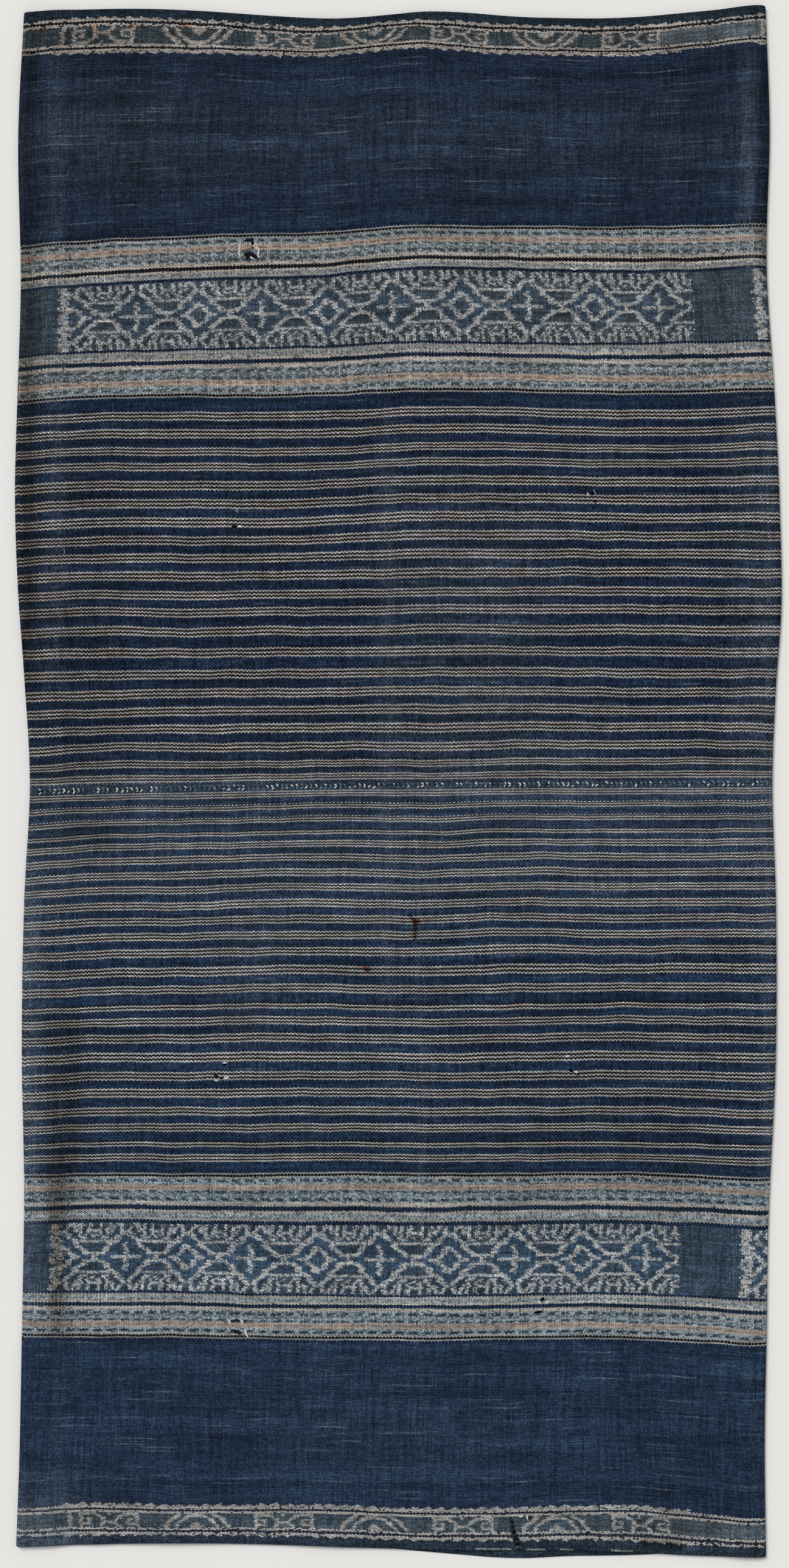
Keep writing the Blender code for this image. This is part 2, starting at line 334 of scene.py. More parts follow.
HOOK_STROKES = (
    (25, 0, 25, 15, 1.6),
    (25, 3, 17, 3, 1.2),
    (17, 3, 17, 8, 1.3),
    (17, 8, 20.5, 8.5, 1.0),
    (25, 13.6, 12.5, 13.6, 1.4),
    (12.5, 13.2, 6, 8.5, 1.5),
    (6, 8.5, 5, 4.5, 1.4),
    (5, 4.5, 8.5, 0.5, 1.4),
    (0, 5, 5, 5, 1.2),
    (0, 13.3, 0, 13.3, 1.5),
)
CHEVRON_STROKES = (
    (29, 0.5, 24, 8, 1.8),
    (24, 8, 15, 14.5, 1.8),
    (19, 0.5, 15, 6.5, 1.4),
    (15, 6.5, 7, 12.5, 1.5),
    (7, 12.5, 0, 13.5, 1.6),
    (0, 1, 5, 1, 1.4),
    (0, 3.4, 2.5, 3.4, 1.5),
    (0, 5.5, 0, 5.5, 1.2),
)

# Stained and smudged places, by panel, with painted shade along the tear and painted shadow at the bottom hem, as
# strokes in mm on the picture: start X and Y, end X and Y, half width, and the tint that darkens the cloth.
RUST = (0.6, 0.2, 0.08)
BROWNED = (0.35, 0.24, 0.18)
REDDENED = (1.0, 0.72, 0.58)
HOLE_SHADE = (0.16, 0.16, 0.2)  # painted shade in and round the worn holes and the tear
# A smudge on the bottom hem, with painted shadow on the rim there.
SMUDGE_AND_HEM_SHADOW = (0.42, 0.38, 0.36)
FRAYED = (9.0, 6.0, 3.6)
STAINS_AND_PAINTED_SHADE = {
    "upper": (
        (-264, 658, -263, 654, 3.0, REDDENED),
        (-234, 657.5, -222, 657.5, 1.8, REDDENED),
        (-316, 651, -304, 655, 2.5, REDDENED),
        (-190, 658.6, -182, 658.6, 1.6, REDDENED),
    ),
    "lower": (
        (14, -121.2, 17, -121, 2.4, RUST),
        (10, -116, 14, -120.5, 1.2, BROWNED),
        (14.8, -122.5, 14.5, -136.5, 1.7, BROWNED),
        (-29, -162, -26, -162, 1.8, RUST),
        (-28, -164, -25.5, -164, 1.5, BROWNED),
        # Smudge and painted shadow at the bottom hem.
        (216, -663, 243, -665, 5.0, SMUDGE_AND_HEM_SHADOW),
        (68, -667.2, 98, -667.8, 0.7, FRAYED),
        (112, -668, 128, -668.1, 0.7, FRAYED),
        (142, -667.9, 152, -668.1, 0.7, FRAYED),
        (186, -668.4, 204, -669.2, 0.7, FRAYED),
        (114.5, -640, 115, -642.5, 1.8, BROWNED),
        # Painted shade in the tear, darkening the cloth beside it.
        (98.5, -641, 101, -654, 1.3, HOLE_SHADE),
        (101, -654, 106.5, -667, 2.4, HOLE_SHADE),
    ),
}
STAIN_REACH = 16  # faces this near to a stain or hole, in mm, take the marked material, with stains and painted shade

# Worn holes through the front layer, in mm: X, Y, length, width, turn in degrees.
HOLES = {
    "upper": (
        (-126.9, 469, 8.5, 1.6, 92),
        (-128.5, 458, 9, 3.2, -8),
        (-142.6, 222.6, 4.2, 1.7, 0),
        (169.3, 251.2, 2.6, 2.0, 30),
        (171.5, 244.3, 3.2, 1.5, -20),
        (170.4, 239, 2.6, 1.4, 10),
        (154, 444.9, 4.5, 1.3, 15),
    ),
    "lower": (
        (-158.7, -255.5, 3.2, 1.9, -30),
        (-154, -257.6, 2.6, 2.0, 20),
        (-150.8, -245.6, 2.2, 1.8, 60),
        (150.5, -251.2, 3.8, 1.8, -15),
        (156.6, -254.4, 2.8, 1.2, -40),
        (125.7, -450.8, 3.6, 2.8, 70),
        (122.2, -461.4, 6.5, 1.5, 5),
        (-143.4, -469.6, 4.5, 1.7, 0),
        (-133.5, -469.8, 2.4, 1.9, 60),
        (-140.7, -478.6, 8, 2.3, -12),
    ),
}
# The tear in the bottom border, as a ring of corners in mm.
TEAR = (
    (97.4, -638.4), (100.0, -643.9), (102.8, -654.6), (105.8, -660.9), (109.5, -668.2), (103.2, -668.4),
    (100.4, -661.5), (98.6, -654.8), (97.0, -646.6),
)
# Loose, broken and darning threads on the front, in mm: colour, thickness, then the points that they pass.
STRANDS = (
    ("cream", 1.2, (-137.5, 470), (-138.5, 463), (-138, 457)),
    ("tan", 1.5, (-136.5, 463.8), (-132, 464.6), (-129, 465.5)),
    ("cream", 1.3, (-124, 466.5), (-121.5, 463), (-122.2, 458), (-120.5, 456.4)),
    ("navy", 1.4, (-134.5, 459.6), (-129, 460.6), (-124, 458), (-121.5, 455)),
    ("navy", 1.2, (-133, 459), (-131, 454.3)),
    ("navy", 1.7, (-133.5, 471.5), (-129.5, 472.4), (-126, 470)),
    ("cream", 1.2, (-129, 457.4), (-125.2, 455)),
    ("cream", 1.3, (-126.6, 467), (-126, 466.4)),
    ("cream", 1.6, (-139.8, 222.8), (-135.6, 222.4)),
    ("pale blue", 0.7, (-142, 238), (-139, 234.2)),
    ("cream", 1.2, (165, 251.8), (165.6, 249)),
    ("pale blue", 0.6, (170, 255), (172.5, 249.6)),
    ("pale blue", 0.8, (315, 250.5), (315.8, 247.4), (317.2, 243.8)),
    ("cream", 0.8, (149.5, 447.6), (154, 446), (157.8, 449)),
    ("cream", 1.7, (-151.6, -258.2), (-147.6, -257)),
    ("cream", 1.4, (-160, -259.4), (-156.6, -259.8)),
    ("cream", 1.2, (-153, -244.4), (-149, -244.2)),
    ("cream", 1.7, (153.8, -252.2), (156.6, -252.4)),
    ("cream", 1.5, (145.6, -238.8), (149.6, -238.4)),
    ("cream", 1.5, (121.8, -452), (124.4, -454)),
    ("cream", 1.6, (128.6, -453.8), (131.8, -452)),
    ("cream", 1.3, (-148, -468), (-145.6, -471.2)),
    ("cream", 1.4, (-137, -468), (-134.6, -471.2)),
    ("cream", 1.5, (-133.2, -476), (-132.6, -480), (-130.6, -483)),
    ("navy", 1.6, (-141.4, -467.5), (-138.2, -470)),
    ("navy", 1.3, (-144.5, -477), (-140.5, -478.4), (-137.5, -481)),
    ("cream", 1.2, (105.4, -639.8), (109, -638.8)),
    ("cream", 1.2, (112, -637.6), (112.8, -642.4)),
    ("pale blue", 0.5, (152.8, 417.6), (155.4, 411), (159, 407.4)),
    ("pale blue", 0.5, (-291.5, 204.5), (-290.6, 200), (-292, 196.5)),
)
STRAND_FULLNESS = 1.35
STRAND_SIDES = 6
STRAND_STEPS = 4
HOLE_CORNERS = 14
HOLE_FULLNESS = 1.3
HOLE_BOTTOM = 1.7 * MM  # over the back layer
HOLE_TOP = 14 * MM

# The seam's thread, in linear colours.
THREADS = {
    "cream": (0.64, 0.60, 0.54),
    "tan": (0.42, 0.26, 0.17),
    "pale blue": (0.20, 0.30, 0.38),
    "navy": (0.006, 0.009, 0.016),
    "dyed": (0.115, 0.190, 0.245),
    "dyed deep": (0.045, 0.080, 0.120),
}

# Linear colours of each panel's yarns.
YARNS = {
    "upper": {
        "indigo": (0.0092, 0.0182, 0.0380),
        "plain": (0.0126, 0.0222, 0.0425),
        "rim": (0.0124, 0.0210, 0.0312),
        "ikat": (0.0388, 0.0542, 0.0692),
        "ikat deep": (0.0400, 0.0595, 0.0835),
        "slate": (0.1000, 0.1250, 0.1400),
        "dash": (0.0520, 0.0650, 0.0740),
        "hook": (0.0360, 0.0480, 0.0560),
        "hook end": (0.0800, 0.0980, 0.1130),
        "white": (0.2500, 0.2460, 0.2400),
        "warm white": (0.2700, 0.2320, 0.2100),
        "ikat white": (0.3500, 0.3500, 0.3450),
        "old white": (0.2950, 0.2650, 0.2400),
        "grey": (0.2500, 0.2500, 0.2450),
        "cream": (0.3700, 0.3300, 0.2900),
        "mist": (0.2480, 0.2740, 0.2870),
        "tan": (0.3300, 0.2750, 0.2350),
        "rust": (0.2500, 0.1700, 0.1350),
        "brown": (0.0115, 0.0105, 0.0115),
        "line": (0.0110, 0.0110, 0.0130),
        "top line": (0.0100, 0.0110, 0.0140),
    },
    "lower": {
        "indigo": (0.0118, 0.0246, 0.0510),
        "plain": (0.0160, 0.0305, 0.0600),
        "rim": (0.0180, 0.0300, 0.0460),
        "ikat": (0.0345, 0.0560, 0.0830),
        "ikat deep": (0.0370, 0.0660, 0.1040),
        "slate": (0.1000, 0.1430, 0.1720),
        "dash": (0.0330, 0.0500, 0.0700),
        "hook": (0.0430, 0.0620, 0.0800),
        "hook end": (0.0640, 0.0840, 0.1040),
        "white": (0.2700, 0.2700, 0.2650),
        "warm white": (0.2900, 0.2600, 0.2350),
        "ikat white": (0.3950, 0.4020, 0.3980),
        "old white": (0.3050, 0.2950, 0.2800),
        "grey": (0.2600, 0.2850, 0.2950),
        "cream": (0.3550, 0.3300, 0.3000),
        "mist": (0.2520, 0.2920, 0.3160),
        "tan": (0.3100, 0.2700, 0.2400),
        "rust": (0.2700, 0.2100, 0.1800),
        "brown": (0.0120, 0.0125, 0.0160),
        "line": (0.0200, 0.0240, 0.0370),
        "top line": (0.0110, 0.0220, 0.0450),
    },
}


def smooth_values(table, at):
    """Reads a two-column table in mm with a smooth curve through its rows. Takes and gives an array of metres."""
    rows = np.array(sorted(table), float) * MM
    return smooth_curve(rows[:, 0], rows[:, 1], at)


def smooth_curve(xs, ys, at):
    """A smooth curve through (xs, ys), read at an array of places and level outside them."""
    slopes = np.gradient(ys, xs)
    at = np.clip(at, xs[0], xs[-1])
    k = np.clip(np.searchsorted(xs, at, side="right") - 1, 0, len(xs) - 2)
    width = xs[k + 1] - xs[k]
    t = (at - xs[k]) / width
    rise = ys[k] * (1 + 2 * t) * (1 - t) ** 2 + ys[k + 1] * t * t * (3 - 2 * t)
    bend = slopes[k] * t * (1 - t) ** 2 - slopes[k + 1] * t * t * (1 - t)
    return rise + bend * width


def soft_bump(distance, reach):
    """1 at the middle of a bump, falling softly to 0 at its reach."""
    inside = np.clip(np.abs(distance) / reach, 0, 1)
    return 0.5 + 0.5 * np.cos(math.pi * inside)


def soft_span(y, start, end, fade):
    """1 between two heights in mm, fading to 0 past them over the fade."""
    return np.interp(y / MM, (end - fade, end, start, start + fade), (0, 1, 1, 0))


def hem_height(x, hem, front):
    """Where a selvedge lies on the front layer, 1, the back layer, 0, or part way round a fold."""
    if hem == "top":
        return smooth_values(TOP_HEM, x) - BACK_TUCK * (1 - front)
    return smooth_values(BOTTOM_HEM, x) - smooth_values(BACK_SHOWS, x) * (1 - front)


def unevenness(x, y):
    """Small soft humps and hollows all over the front layer."""
    waves = [
        noise.noise(Vector((px / UNEVEN_LENGTH, py / UNEVEN_LENGTH, 0)))
        + 0.4 * noise.noise(Vector((px / UNEVEN_LENGTH * 2.7, py / UNEVEN_LENGTH * 1.9, 7)))
        for px, py in zip(np.ravel(x), np.ravel(y))
    ]
    return UNEVEN * np.reshape(waves, np.shape(x))


def front_height(x, y):
    """Height of the middle of the front layer: high at the folds, with rolls, creases and cockles."""
    left = smooth_values(LEFT_EDGE, y) + CLOTH / 2
    right = smooth_values(RIGHT_EDGE, y) - CLOTH / 2
    flat = 1.5 * CLOTH + LAYER_GAP
    fold_top = CLOTH / 2 + 2 * FOLD_RADIUS
    nearest = np.minimum(x - left, right - x) - FOLD_RADIUS
    height = flat + (fold_top - flat) * soft_bump(np.maximum(nearest, 0), FOLD_EASE)
    height += smooth_values(LEFT_ROLL, y) * soft_bump(x - left - LEFT_CREST, ROLL_REACH)
    height += smooth_values(RIGHT_ROLL, y) * soft_bump(right - x - RIGHT_CREST, ROLL_REACH)
    for _, centre, crest, reach, start, end in RIDGES:
        fade = np.interp(y / MM, (end, end + RIDGE_FADE, start - RIDGE_FADE, start), (0, 1, 1, 0))
        height += crest * MM * fade * soft_bump(x - centre * MM, reach * MM)
    for hem, centre, crest, reach in COCKLES:
        depth = np.abs(hem_height(x, hem, 1) - y)
        height += crest * MM * soft_bump(depth, COCKLE_FADE) * soft_bump(x - centre * MM, reach * MM)
    inland = np.clip(nearest / ROLL_REACH, 0, 1)
    return height + unevenness(x, y) * inland


class Panel:
    """One loom length: a loop of columns round the cloth and rows from its hem to the seam."""

    def __init__(self, name, hem, lines, waves, motifs):
        self.name = name
        self.hem = hem
        self.lines = lines
        self.waves = waves
        self.outward = 1 if hem == "top" else -1
        self.lay_columns()
        self.lay_rows()
        self.lay_points()
        self.place_motifs(motifs)

    def lay_columns(self):
        """The places round the loop: share of the width, share of the front layer, and distance along the warp."""
        front = np.arange(FRONT_COLUMNS) / FRONT_COLUMNS
        fold = np.arange(FOLD_COLUMNS) / FOLD_COLUMNS
        back = np.arange(BACK_COLUMNS) / BACK_COLUMNS
        turn = math.pi * FOLD_RADIUS
        self.stretch = np.repeat(("front", "right fold", "back", "left fold"),
                                 (FRONT_COLUMNS, FOLD_COLUMNS, BACK_COLUMNS, FOLD_COLUMNS))
        self.share = np.concatenate((front, fold, 1 - back, fold))
        self.across = np.concatenate((front, np.ones(FOLD_COLUMNS), 1 - back, np.zeros(FOLD_COLUMNS)))
        self.front = np.concatenate((np.ones(FRONT_COLUMNS), 1 - fold, np.zeros(BACK_COLUMNS), fold))
        self.along = np.concatenate((
            front * FRONT_WIDTH,
            FRONT_WIDTH + fold * turn,
            FRONT_WIDTH + turn + back * FRONT_WIDTH,
            2 * FRONT_WIDTH + turn + fold * turn,
            [2 * FRONT_WIDTH + 2 * turn],
        ))

    def lay_rows(self):
        """Row heights at the middle of the cloth, and for each strip its section and its chart depths."""
        border = np.array(self.lines["border"])
        band = np.array(self.lines["band"])[::-1]
        depths = np.array(BORDER_ROWS)
        heights = list(np.interp(depths, border[:, 0], border[:, 1]))
        strips = [("border", a, b, 0) for a, b in zip(depths, depths[1:])]
        plain = np.linspace(border[-1, 1], band[-1, 1], PLAIN_ROWS + 1)
        heights += list(plain[1:])
        depths = border[-1, 0] + np.abs(plain - plain[0])
        strips += [("plain", a, b, 0) for a, b in zip(depths, depths[1:])]
        count = round((band[-1, 0] - band[0, 0]) / BAND_STEP)
        depths = np.linspace(band[-1, 0], band[0, 0], count + 1)
        heights += list(np.interp(depths[1:], band[:, 0], band[:, 1]))
        strips += [("band", a, b, 0) for a, b in zip(depths, depths[1:])]
        self.lay_group_rows(heights, strips)
        self.heights = np.array(heights) * MM
        self.strips = strips

    def lay_group_rows(self, heights, strips):
        """Three rows for each pinstripe group, so that its lines keep their true spacing."""
        groups = np.array(self.lines["groups"])
        seam = float(smooth_values(SEAM, np.zeros(1))[0]) / MM
        gaps = np.abs(np.diff(np.concatenate(([heights[-1]], groups, [seam]))))
        gaps[0] = gaps[1]
        gaps[-1] = gaps[-2]
        for k, middle in enumerate(groups):
            half = GROUP_SHARE * min(GROUP_PITCH, gaps[k], gaps[k + 1])
            number = k + 1
            kind = 1 if number in TWO_LINES[self.name] else 2 if number in DOTTED[self.name] else 0
            for offset in (-1, 0, 1):
                before = heights[-1]
                heights.append(middle - offset * half * self.outward)
                after = number * GROUP_PITCH + offset * GROUP_HALF
                if k == 0 and offset == -1:
                    strips.append(("stripes", after - abs(heights[-1] - before), after, UNLINED))
                else:
                    strips.append(("stripes", depth, after, kind))
                depth = after
        heights.append(seam)
        strips.append(("stripes", depth, depth + abs(heights[-1] - heights[-2]), 0))

    def wander(self, x):
        """How far each row rises from level at each x, on the front layer."""
        hem_rise = hem_height(x, self.hem, 1) - self.heights[0]
        seam_rise = self.seam_line(x) - self.heights[-1]
        stations = np.array(WAVE_STATIONS) * MM
        table = [(self.heights[0], hem_rise), (self.heights[-1], seam_rise)]
        for row in self.waves:
            table.append((row[0] * MM, smooth_curve(stations, np.array(row[1:]) * MM, x)))
        table.sort(key=lambda line: line[0])
        at = np.array([line[0] for line in table])
        rises = np.array([line[1] for line in table])
        rise = np.array([[np.interp(h, at, rises[:, c]) for c in range(len(x))] for h in self.heights])
        return rise + self.unsteadiness(x)

    def unsteadiness(self, x):
        """The small unsteadiness of the warp lines, which is least along the two edges."""
        waves = [[
            noise.noise(Vector((px / 0.023, h / 0.03, 3))) + 1.2 * noise.noise(Vector((px / 0.075, h / 0.05, 9)))
            for px in x] for h in self.heights]
        edge = np.minimum(np.abs(self.heights - self.heights[0]), np.abs(self.heights - self.heights[-1]))
        return UNSTEADY * np.array(waves) * np.clip(edge / (12 * MM), 0, 1)[:, None]

    def seam_line(self, x):
        """Where the panel's edge lies along the seam."""
        return smooth_values(SEAM, x) + self.outward * SEAM_GAP / 2

    def lay_points(self):
        """The middle of the cloth at each row and column."""
        seam_left, seam_right = SEAM[0][0] * MM, SEAM[-1][0] * MM
        near_x = seam_left + (seam_right - seam_left) * self.across
        down = ((self.heights - self.heights[0]) / (self.heights[-1] - self.heights[0]))[:, None]
        hem_rise = hem_height(near_x, self.hem, self.front) - self.heights[0]
        seam_rise = self.seam_line(near_x) - self.heights[-1]
        straight = hem_rise * (1 - down) + seam_rise * down
        ends = np.array((seam_left, seam_right))
        end_straight = (hem_height(ends, self.hem, 1) - self.heights[0]) * (1 - down)
        end_straight = end_straight + (self.seam_line(ends) - self.heights[-1]) * down
        end_extra = self.wander(ends) - end_straight
        behind = straight + end_extra[:, :1] * (1 - self.across) + end_extra[:, 1:] * self.across
        rise = np.where(self.stretch == "front", self.wander(near_x), behind)
        y = self.heights[:, None] + rise
        left = smooth_values(LEFT_EDGE, y) + CLOTH / 2
        right = smooth_values(RIGHT_EDGE, y) - CLOTH / 2
        x = left + FOLD_RADIUS + (right - left - 2 * FOLD_RADIUS) * self.share
        turn = math.pi * self.share
        at_right = self.stretch == "right fold"
        at_left = self.stretch == "left fold"
        x = np.where(at_right, right - FOLD_RADIUS + FOLD_RADIUS * np.sin(turn), x)
        x = np.where(at_left, left + FOLD_RADIUS - FOLD_RADIUS * np.sin(turn), x)
        z = np.where(self.stretch == "front", front_height(x, y), CLOTH / 2)
        z = np.where(at_right, CLOTH / 2 + FOLD_RADIUS * (1 + np.cos(turn)), z)
        z = np.where(at_left, CLOTH / 2 + FOLD_RADIUS * (1 - np.cos(turn)), z)
        self.points = np.stack((x, y, z), axis=2)

    def place_motifs(self, motifs):
        """Turns the motifs' places in the picture into distances along the warp."""
        self.motifs = {}
        for section, (places, following) in motifs.items():
            rows = [k for k, strip in enumerate(self.strips) if strip[0] == section]
            level = self.heights[rows[len(rows) // 2]]
            left = float(smooth_values(LEFT_EDGE, np.array([level]))[0]) + CLOTH / 2 + FOLD_RADIUS
            right = float(smooth_values(RIGHT_EDGE, np.array([level]))[0]) - CLOTH / 2 - FOLD_RADIUS
            scale = FRONT_WIDTH / (right - left)
            along = [(x * MM - left) * scale / MM for x in (*places, following)]
            self.motifs[section] = (along[:-1], along[-1])

    def motif_phase(self, section, column, corner):
        """Distance along the motif repeat, in mm, at a corner of a column, starting again at the next repeat."""
        places, following = self.motifs[section]
        pitch = BORDER_HALF_REPEAT if section == "border" else IKAT_HALF_REPEAT
        start = BORDER_START if section == "border" else IKAT_START
        end = BORDER_END if section == "border" else IKAT_END
        here = (self.along[column] + self.along[column + 1]) / 2 / MM
        at = self.along[corner] / MM
        last = pitch * (len(places) - 1)
        gap_middle = (following + places[-1] + end - last) / 2
        if here > gap_middle:
            return start + at - following
        if at < places[0]:
            return at - places[0]
        if at > places[-1]:
            return last + at - places[-1]
        return float(np.interp(at, places, pitch * np.arange(len(places))))

    def phases(self, section):
        """The motif phase at the near and far side of every column."""
        if section not in self.motifs:
            return self.along[:-1] / MM, self.along[1:] / MM
        columns = range(len(self.along) - 1)
        near = np.array([self.motif_phase(section, k, k) for k in columns])
        far = np.array([self.motif_phase(section, k, k + 1) for k in columns])
        return near, far


def wear_soil_and_painted_light(x, y):
    """Wear and soil at each point, with painted shade on folds and creases and painted highlight on crests."""
    paling = np.zeros_like(x)
    soiling = np.zeros_like(x)
    for _, centre, reach, start, end, pale, soil in WEAR_AND_PAINTED_LIGHT_STRIPS:
        strength = soft_bump(x - centre * MM, reach * MM) * soft_span(y, start - STRIP_FADE, end + STRIP_FADE, STRIP_FADE)
        paling += pale * strength
        soiling += soil * strength
    for middle, reach, pale in (WASHED_TOP, WASHED_SEAM, WASHED_EDGES):
        paling += pale * soft_bump(y - middle * MM, reach * MM)
    return paling, np.clip(soiling, 0, 1)


SECTIONS = ("border", "plain", "band", "stripes")


def panel_mesh(panel):
    """A panel's middle surface, with weave and chart maps, wear and soil with painted shade and highlight, and group
    kinds.
    """
    rows, columns = panel.points.shape[:2]
    row = np.repeat(np.arange(rows - 1), columns)
    near = np.tile(np.arange(columns), rows - 1)
    far = near + 1
    corners = [(row, near), (row + 1, near), (row + 1, far), (row, far)]
    if panel.outward < 0:
        corners = corners[::-1]
    faces = np.stack([r * columns + c % columns for r, c in corners], axis=1)
    mesh = bpy.data.meshes.new(panel.name + "_cloth")
    mesh.from_pydata(panel.points.reshape(-1, 3).tolist(), [], faces.tolist())

    depth = np.abs(panel.heights - panel.heights[0])
    weave = np.stack([np.stack((panel.along[c], depth[r]), axis=1) for r, c in corners], axis=1)
    near_phase = np.empty((rows - 1, columns))
    far_phase = np.empty((rows - 1, columns))
    near_depth = np.empty(rows - 1)
    far_depth = np.empty(rows - 1)
    kinds = np.zeros(rows - 1)
    materials = np.zeros(rows - 1, int)
    phases = {section: panel.phases(section) for section in SECTIONS}
    for k, (section, start, end, kind) in enumerate(panel.strips):
        near_phase[k], far_phase[k] = phases[section]
        near_depth[k], far_depth[k], kinds[k] = start, end, kind
        materials[k] = SECTIONS.index(section)
    chart = []
    for r, c in corners:
        phase = np.where(c == near, near_phase[row, near], far_phase[row, near])
        across = np.where(r == row, near_depth[row], far_depth[row])
        chart.append(np.stack((phase, across), axis=1) * MM)
    chart = np.stack(chart, axis=1)
    for name, values in (("weave", weave), ("chart", chart)):
        layer = mesh.uv_layers.new(name=name)
        layer.uv.foreach_set("vector", values.astype(np.float32).ravel())

    flat = panel.points.reshape(-1, 3)
    paling, soiling = wear_soil_and_painted_light(flat[:, 0], flat[:, 1])
    for name, domain, values in (
        ("paling", "POINT", paling),
        ("soiling", "POINT", soiling),
        ("group_kind", "FACE", kinds[row]),
    ):
        attribute = mesh.attributes.new(name, "FLOAT", domain)
        attribute.data.foreach_set("value", values.astype(np.float32))
    middle = panel.points[row, near % columns]
    marked = near_marks(panel, middle[:, 0], middle[:, 1])
    mesh.polygons.foreach_set("material_index", materials[row] + len(SECTIONS) * marked)
    return mesh


def settle(obj):
    """Puts what an object's modifiers make of it into its mesh."""
    graph = bpy.context.evaluated_depsgraph_get()
    mesh = bpy.data.meshes.new_from_object(obj.evaluated_get(graph), preserve_all_data_layers=True, depsgraph=graph)
    obj.modifiers.clear()
    obj.data = mesh


class Nodes:
    """Adds nodes to a tree. A value given for an input is either a socket, which is linked, or a plain value."""

    def __init__(self, tree):
        self.tree = tree
        self.count = 0

    def add(self, kind, **settings):
        node = self.tree.nodes.new(kind)
        node.location = (200 * (self.count // 6), -180 * (self.count % 6))
        self.count += 1
        for name, value in settings.items():
            setattr(node, name, value)
        return node

    def feed(self, socket, value):
        if isinstance(value, bpy.types.NodeSocket):
            self.tree.links.new(value, socket)
        elif value is not None:
            socket.default_value = value

    def math(self, operation, a, b=None, c=None, clamp=False):
        node = self.add("ShaderNodeMath", operation=operation, use_clamp=clamp)
        for socket, value in zip(node.inputs, (a, b, c)):
            self.feed(socket, value)
        return node.outputs[0]

    def vector(self, operation, a, b=None, scale=None):
        node = self.add("ShaderNodeVectorMath", operation=operation)
        self.feed(node.inputs[0], a)
        self.feed(node.inputs[1], b)
        self.feed(node.inputs[3], scale)
        single = operation in ("DOT_PRODUCT", "DISTANCE", "LENGTH")
        return node.outputs["Value" if single else "Vector"]

    def place(self, x, y):
        node = self.add("ShaderNodeCombineXYZ")
        self.feed(node.inputs[0], x)
        self.feed(node.inputs[1], y)
        return node.outputs[0]

    def split(self, vector):
        node = self.add("ShaderNodeSeparateXYZ")
        self.feed(node.inputs[0], vector)
        return node.outputs[0], node.outputs[1]

    def random(self, value, dimensions="1D"):
        node = self.add("ShaderNodeTexWhiteNoise", noise_dimensions=dimensions)
        self.feed(node.inputs["W" if dimensions == "1D" else "Vector"], value)
        return node.outputs["Value"]

    def noise(self, vector, detail=0.0):
        node = self.add("ShaderNodeTexNoise", noise_dimensions="2D")
        self.feed(node.inputs["Vector"], vector)
        node.inputs["Scale"].default_value = 1.0
        node.inputs["Detail"].default_value = detail
        return node.outputs["Fac"]

    def choose(self, share, a, b, kind="FLOAT"):
        """A single number, or a vector, part way from one value to another."""
        node = self.add("ShaderNodeMix", data_type=kind)
        self.feed(node.inputs[0], share)
        first = 4 if kind == "VECTOR" else 2
        self.feed(node.inputs[first], a)
        self.feed(node.inputs[first + 1], b)
        return node.outputs[1 if kind == "VECTOR" else 0]

    def random_vector(self, size, seed, offset):
        """A random vector for each element, up to a size in each direction."""
        node = self.add("FunctionNodeRandomValue", data_type="FLOAT_VECTOR")
        self.feed(node.inputs[0], (-size, -size, 0.0))
        self.feed(node.inputs[1], (size, size, 0.0))
        self.feed(node.inputs["Seed"], self.math("ADD", seed, float(offset)))
        return node.outputs[0]

    def ramp_between(self, share, a, b):
        """A colour that runs from one to another."""
        return self.mix(share, a, b)

    def mix(self, share, a, b, blend="MIX"):
        node = self.add("ShaderNodeMix", data_type="RGBA", blend_type=blend)
        self.feed(node.inputs[0], share)
        for socket, value in ((node.inputs[6], a), (node.inputs[7], b)):
            self.feed(socket, (*value, 1.0) if isinstance(value, tuple) else value)
        return node.outputs[2]

    def ramp(self, place, stops):
        """A stepped ramp of (position, colour) stops."""
        node = self.add("ShaderNodeValToRGB")
        ramp = node.color_ramp
        ramp.interpolation = "CONSTANT"
        while len(ramp.elements) < len(stops):
            ramp.elements.new(1.0)
        for element, (position, colour) in zip(ramp.elements, stops):
            element.position = position
            element.color = (*colour, 1.0)
        self.feed(node.inputs[0], place)
        return node.outputs[0]

    def group(self, tree, **inputs):
        node = self.add("ShaderNodeGroup", node_tree=tree)
        for name, value in inputs.items():
            self.feed(node.inputs[name.replace("_", " ")], value)
        return node.outputs


def new_group(name, inputs, outputs):
    """An empty shader group with named sockets, and its node helper, inputs and output node."""
    tree = bpy.data.node_groups.new(name, "ShaderNodeTree")
    for label, kind in inputs:
        tree.interface.new_socket(name=label, in_out="INPUT", socket_type="NodeSocket" + kind)
    for label, kind in outputs:
        tree.interface.new_socket(name=label, in_out="OUTPUT", socket_type="NodeSocket" + kind)
    nodes = Nodes(tree)
    return tree, nodes, nodes.add("NodeGroupInput").outputs, nodes.add("NodeGroupOutput").inputs


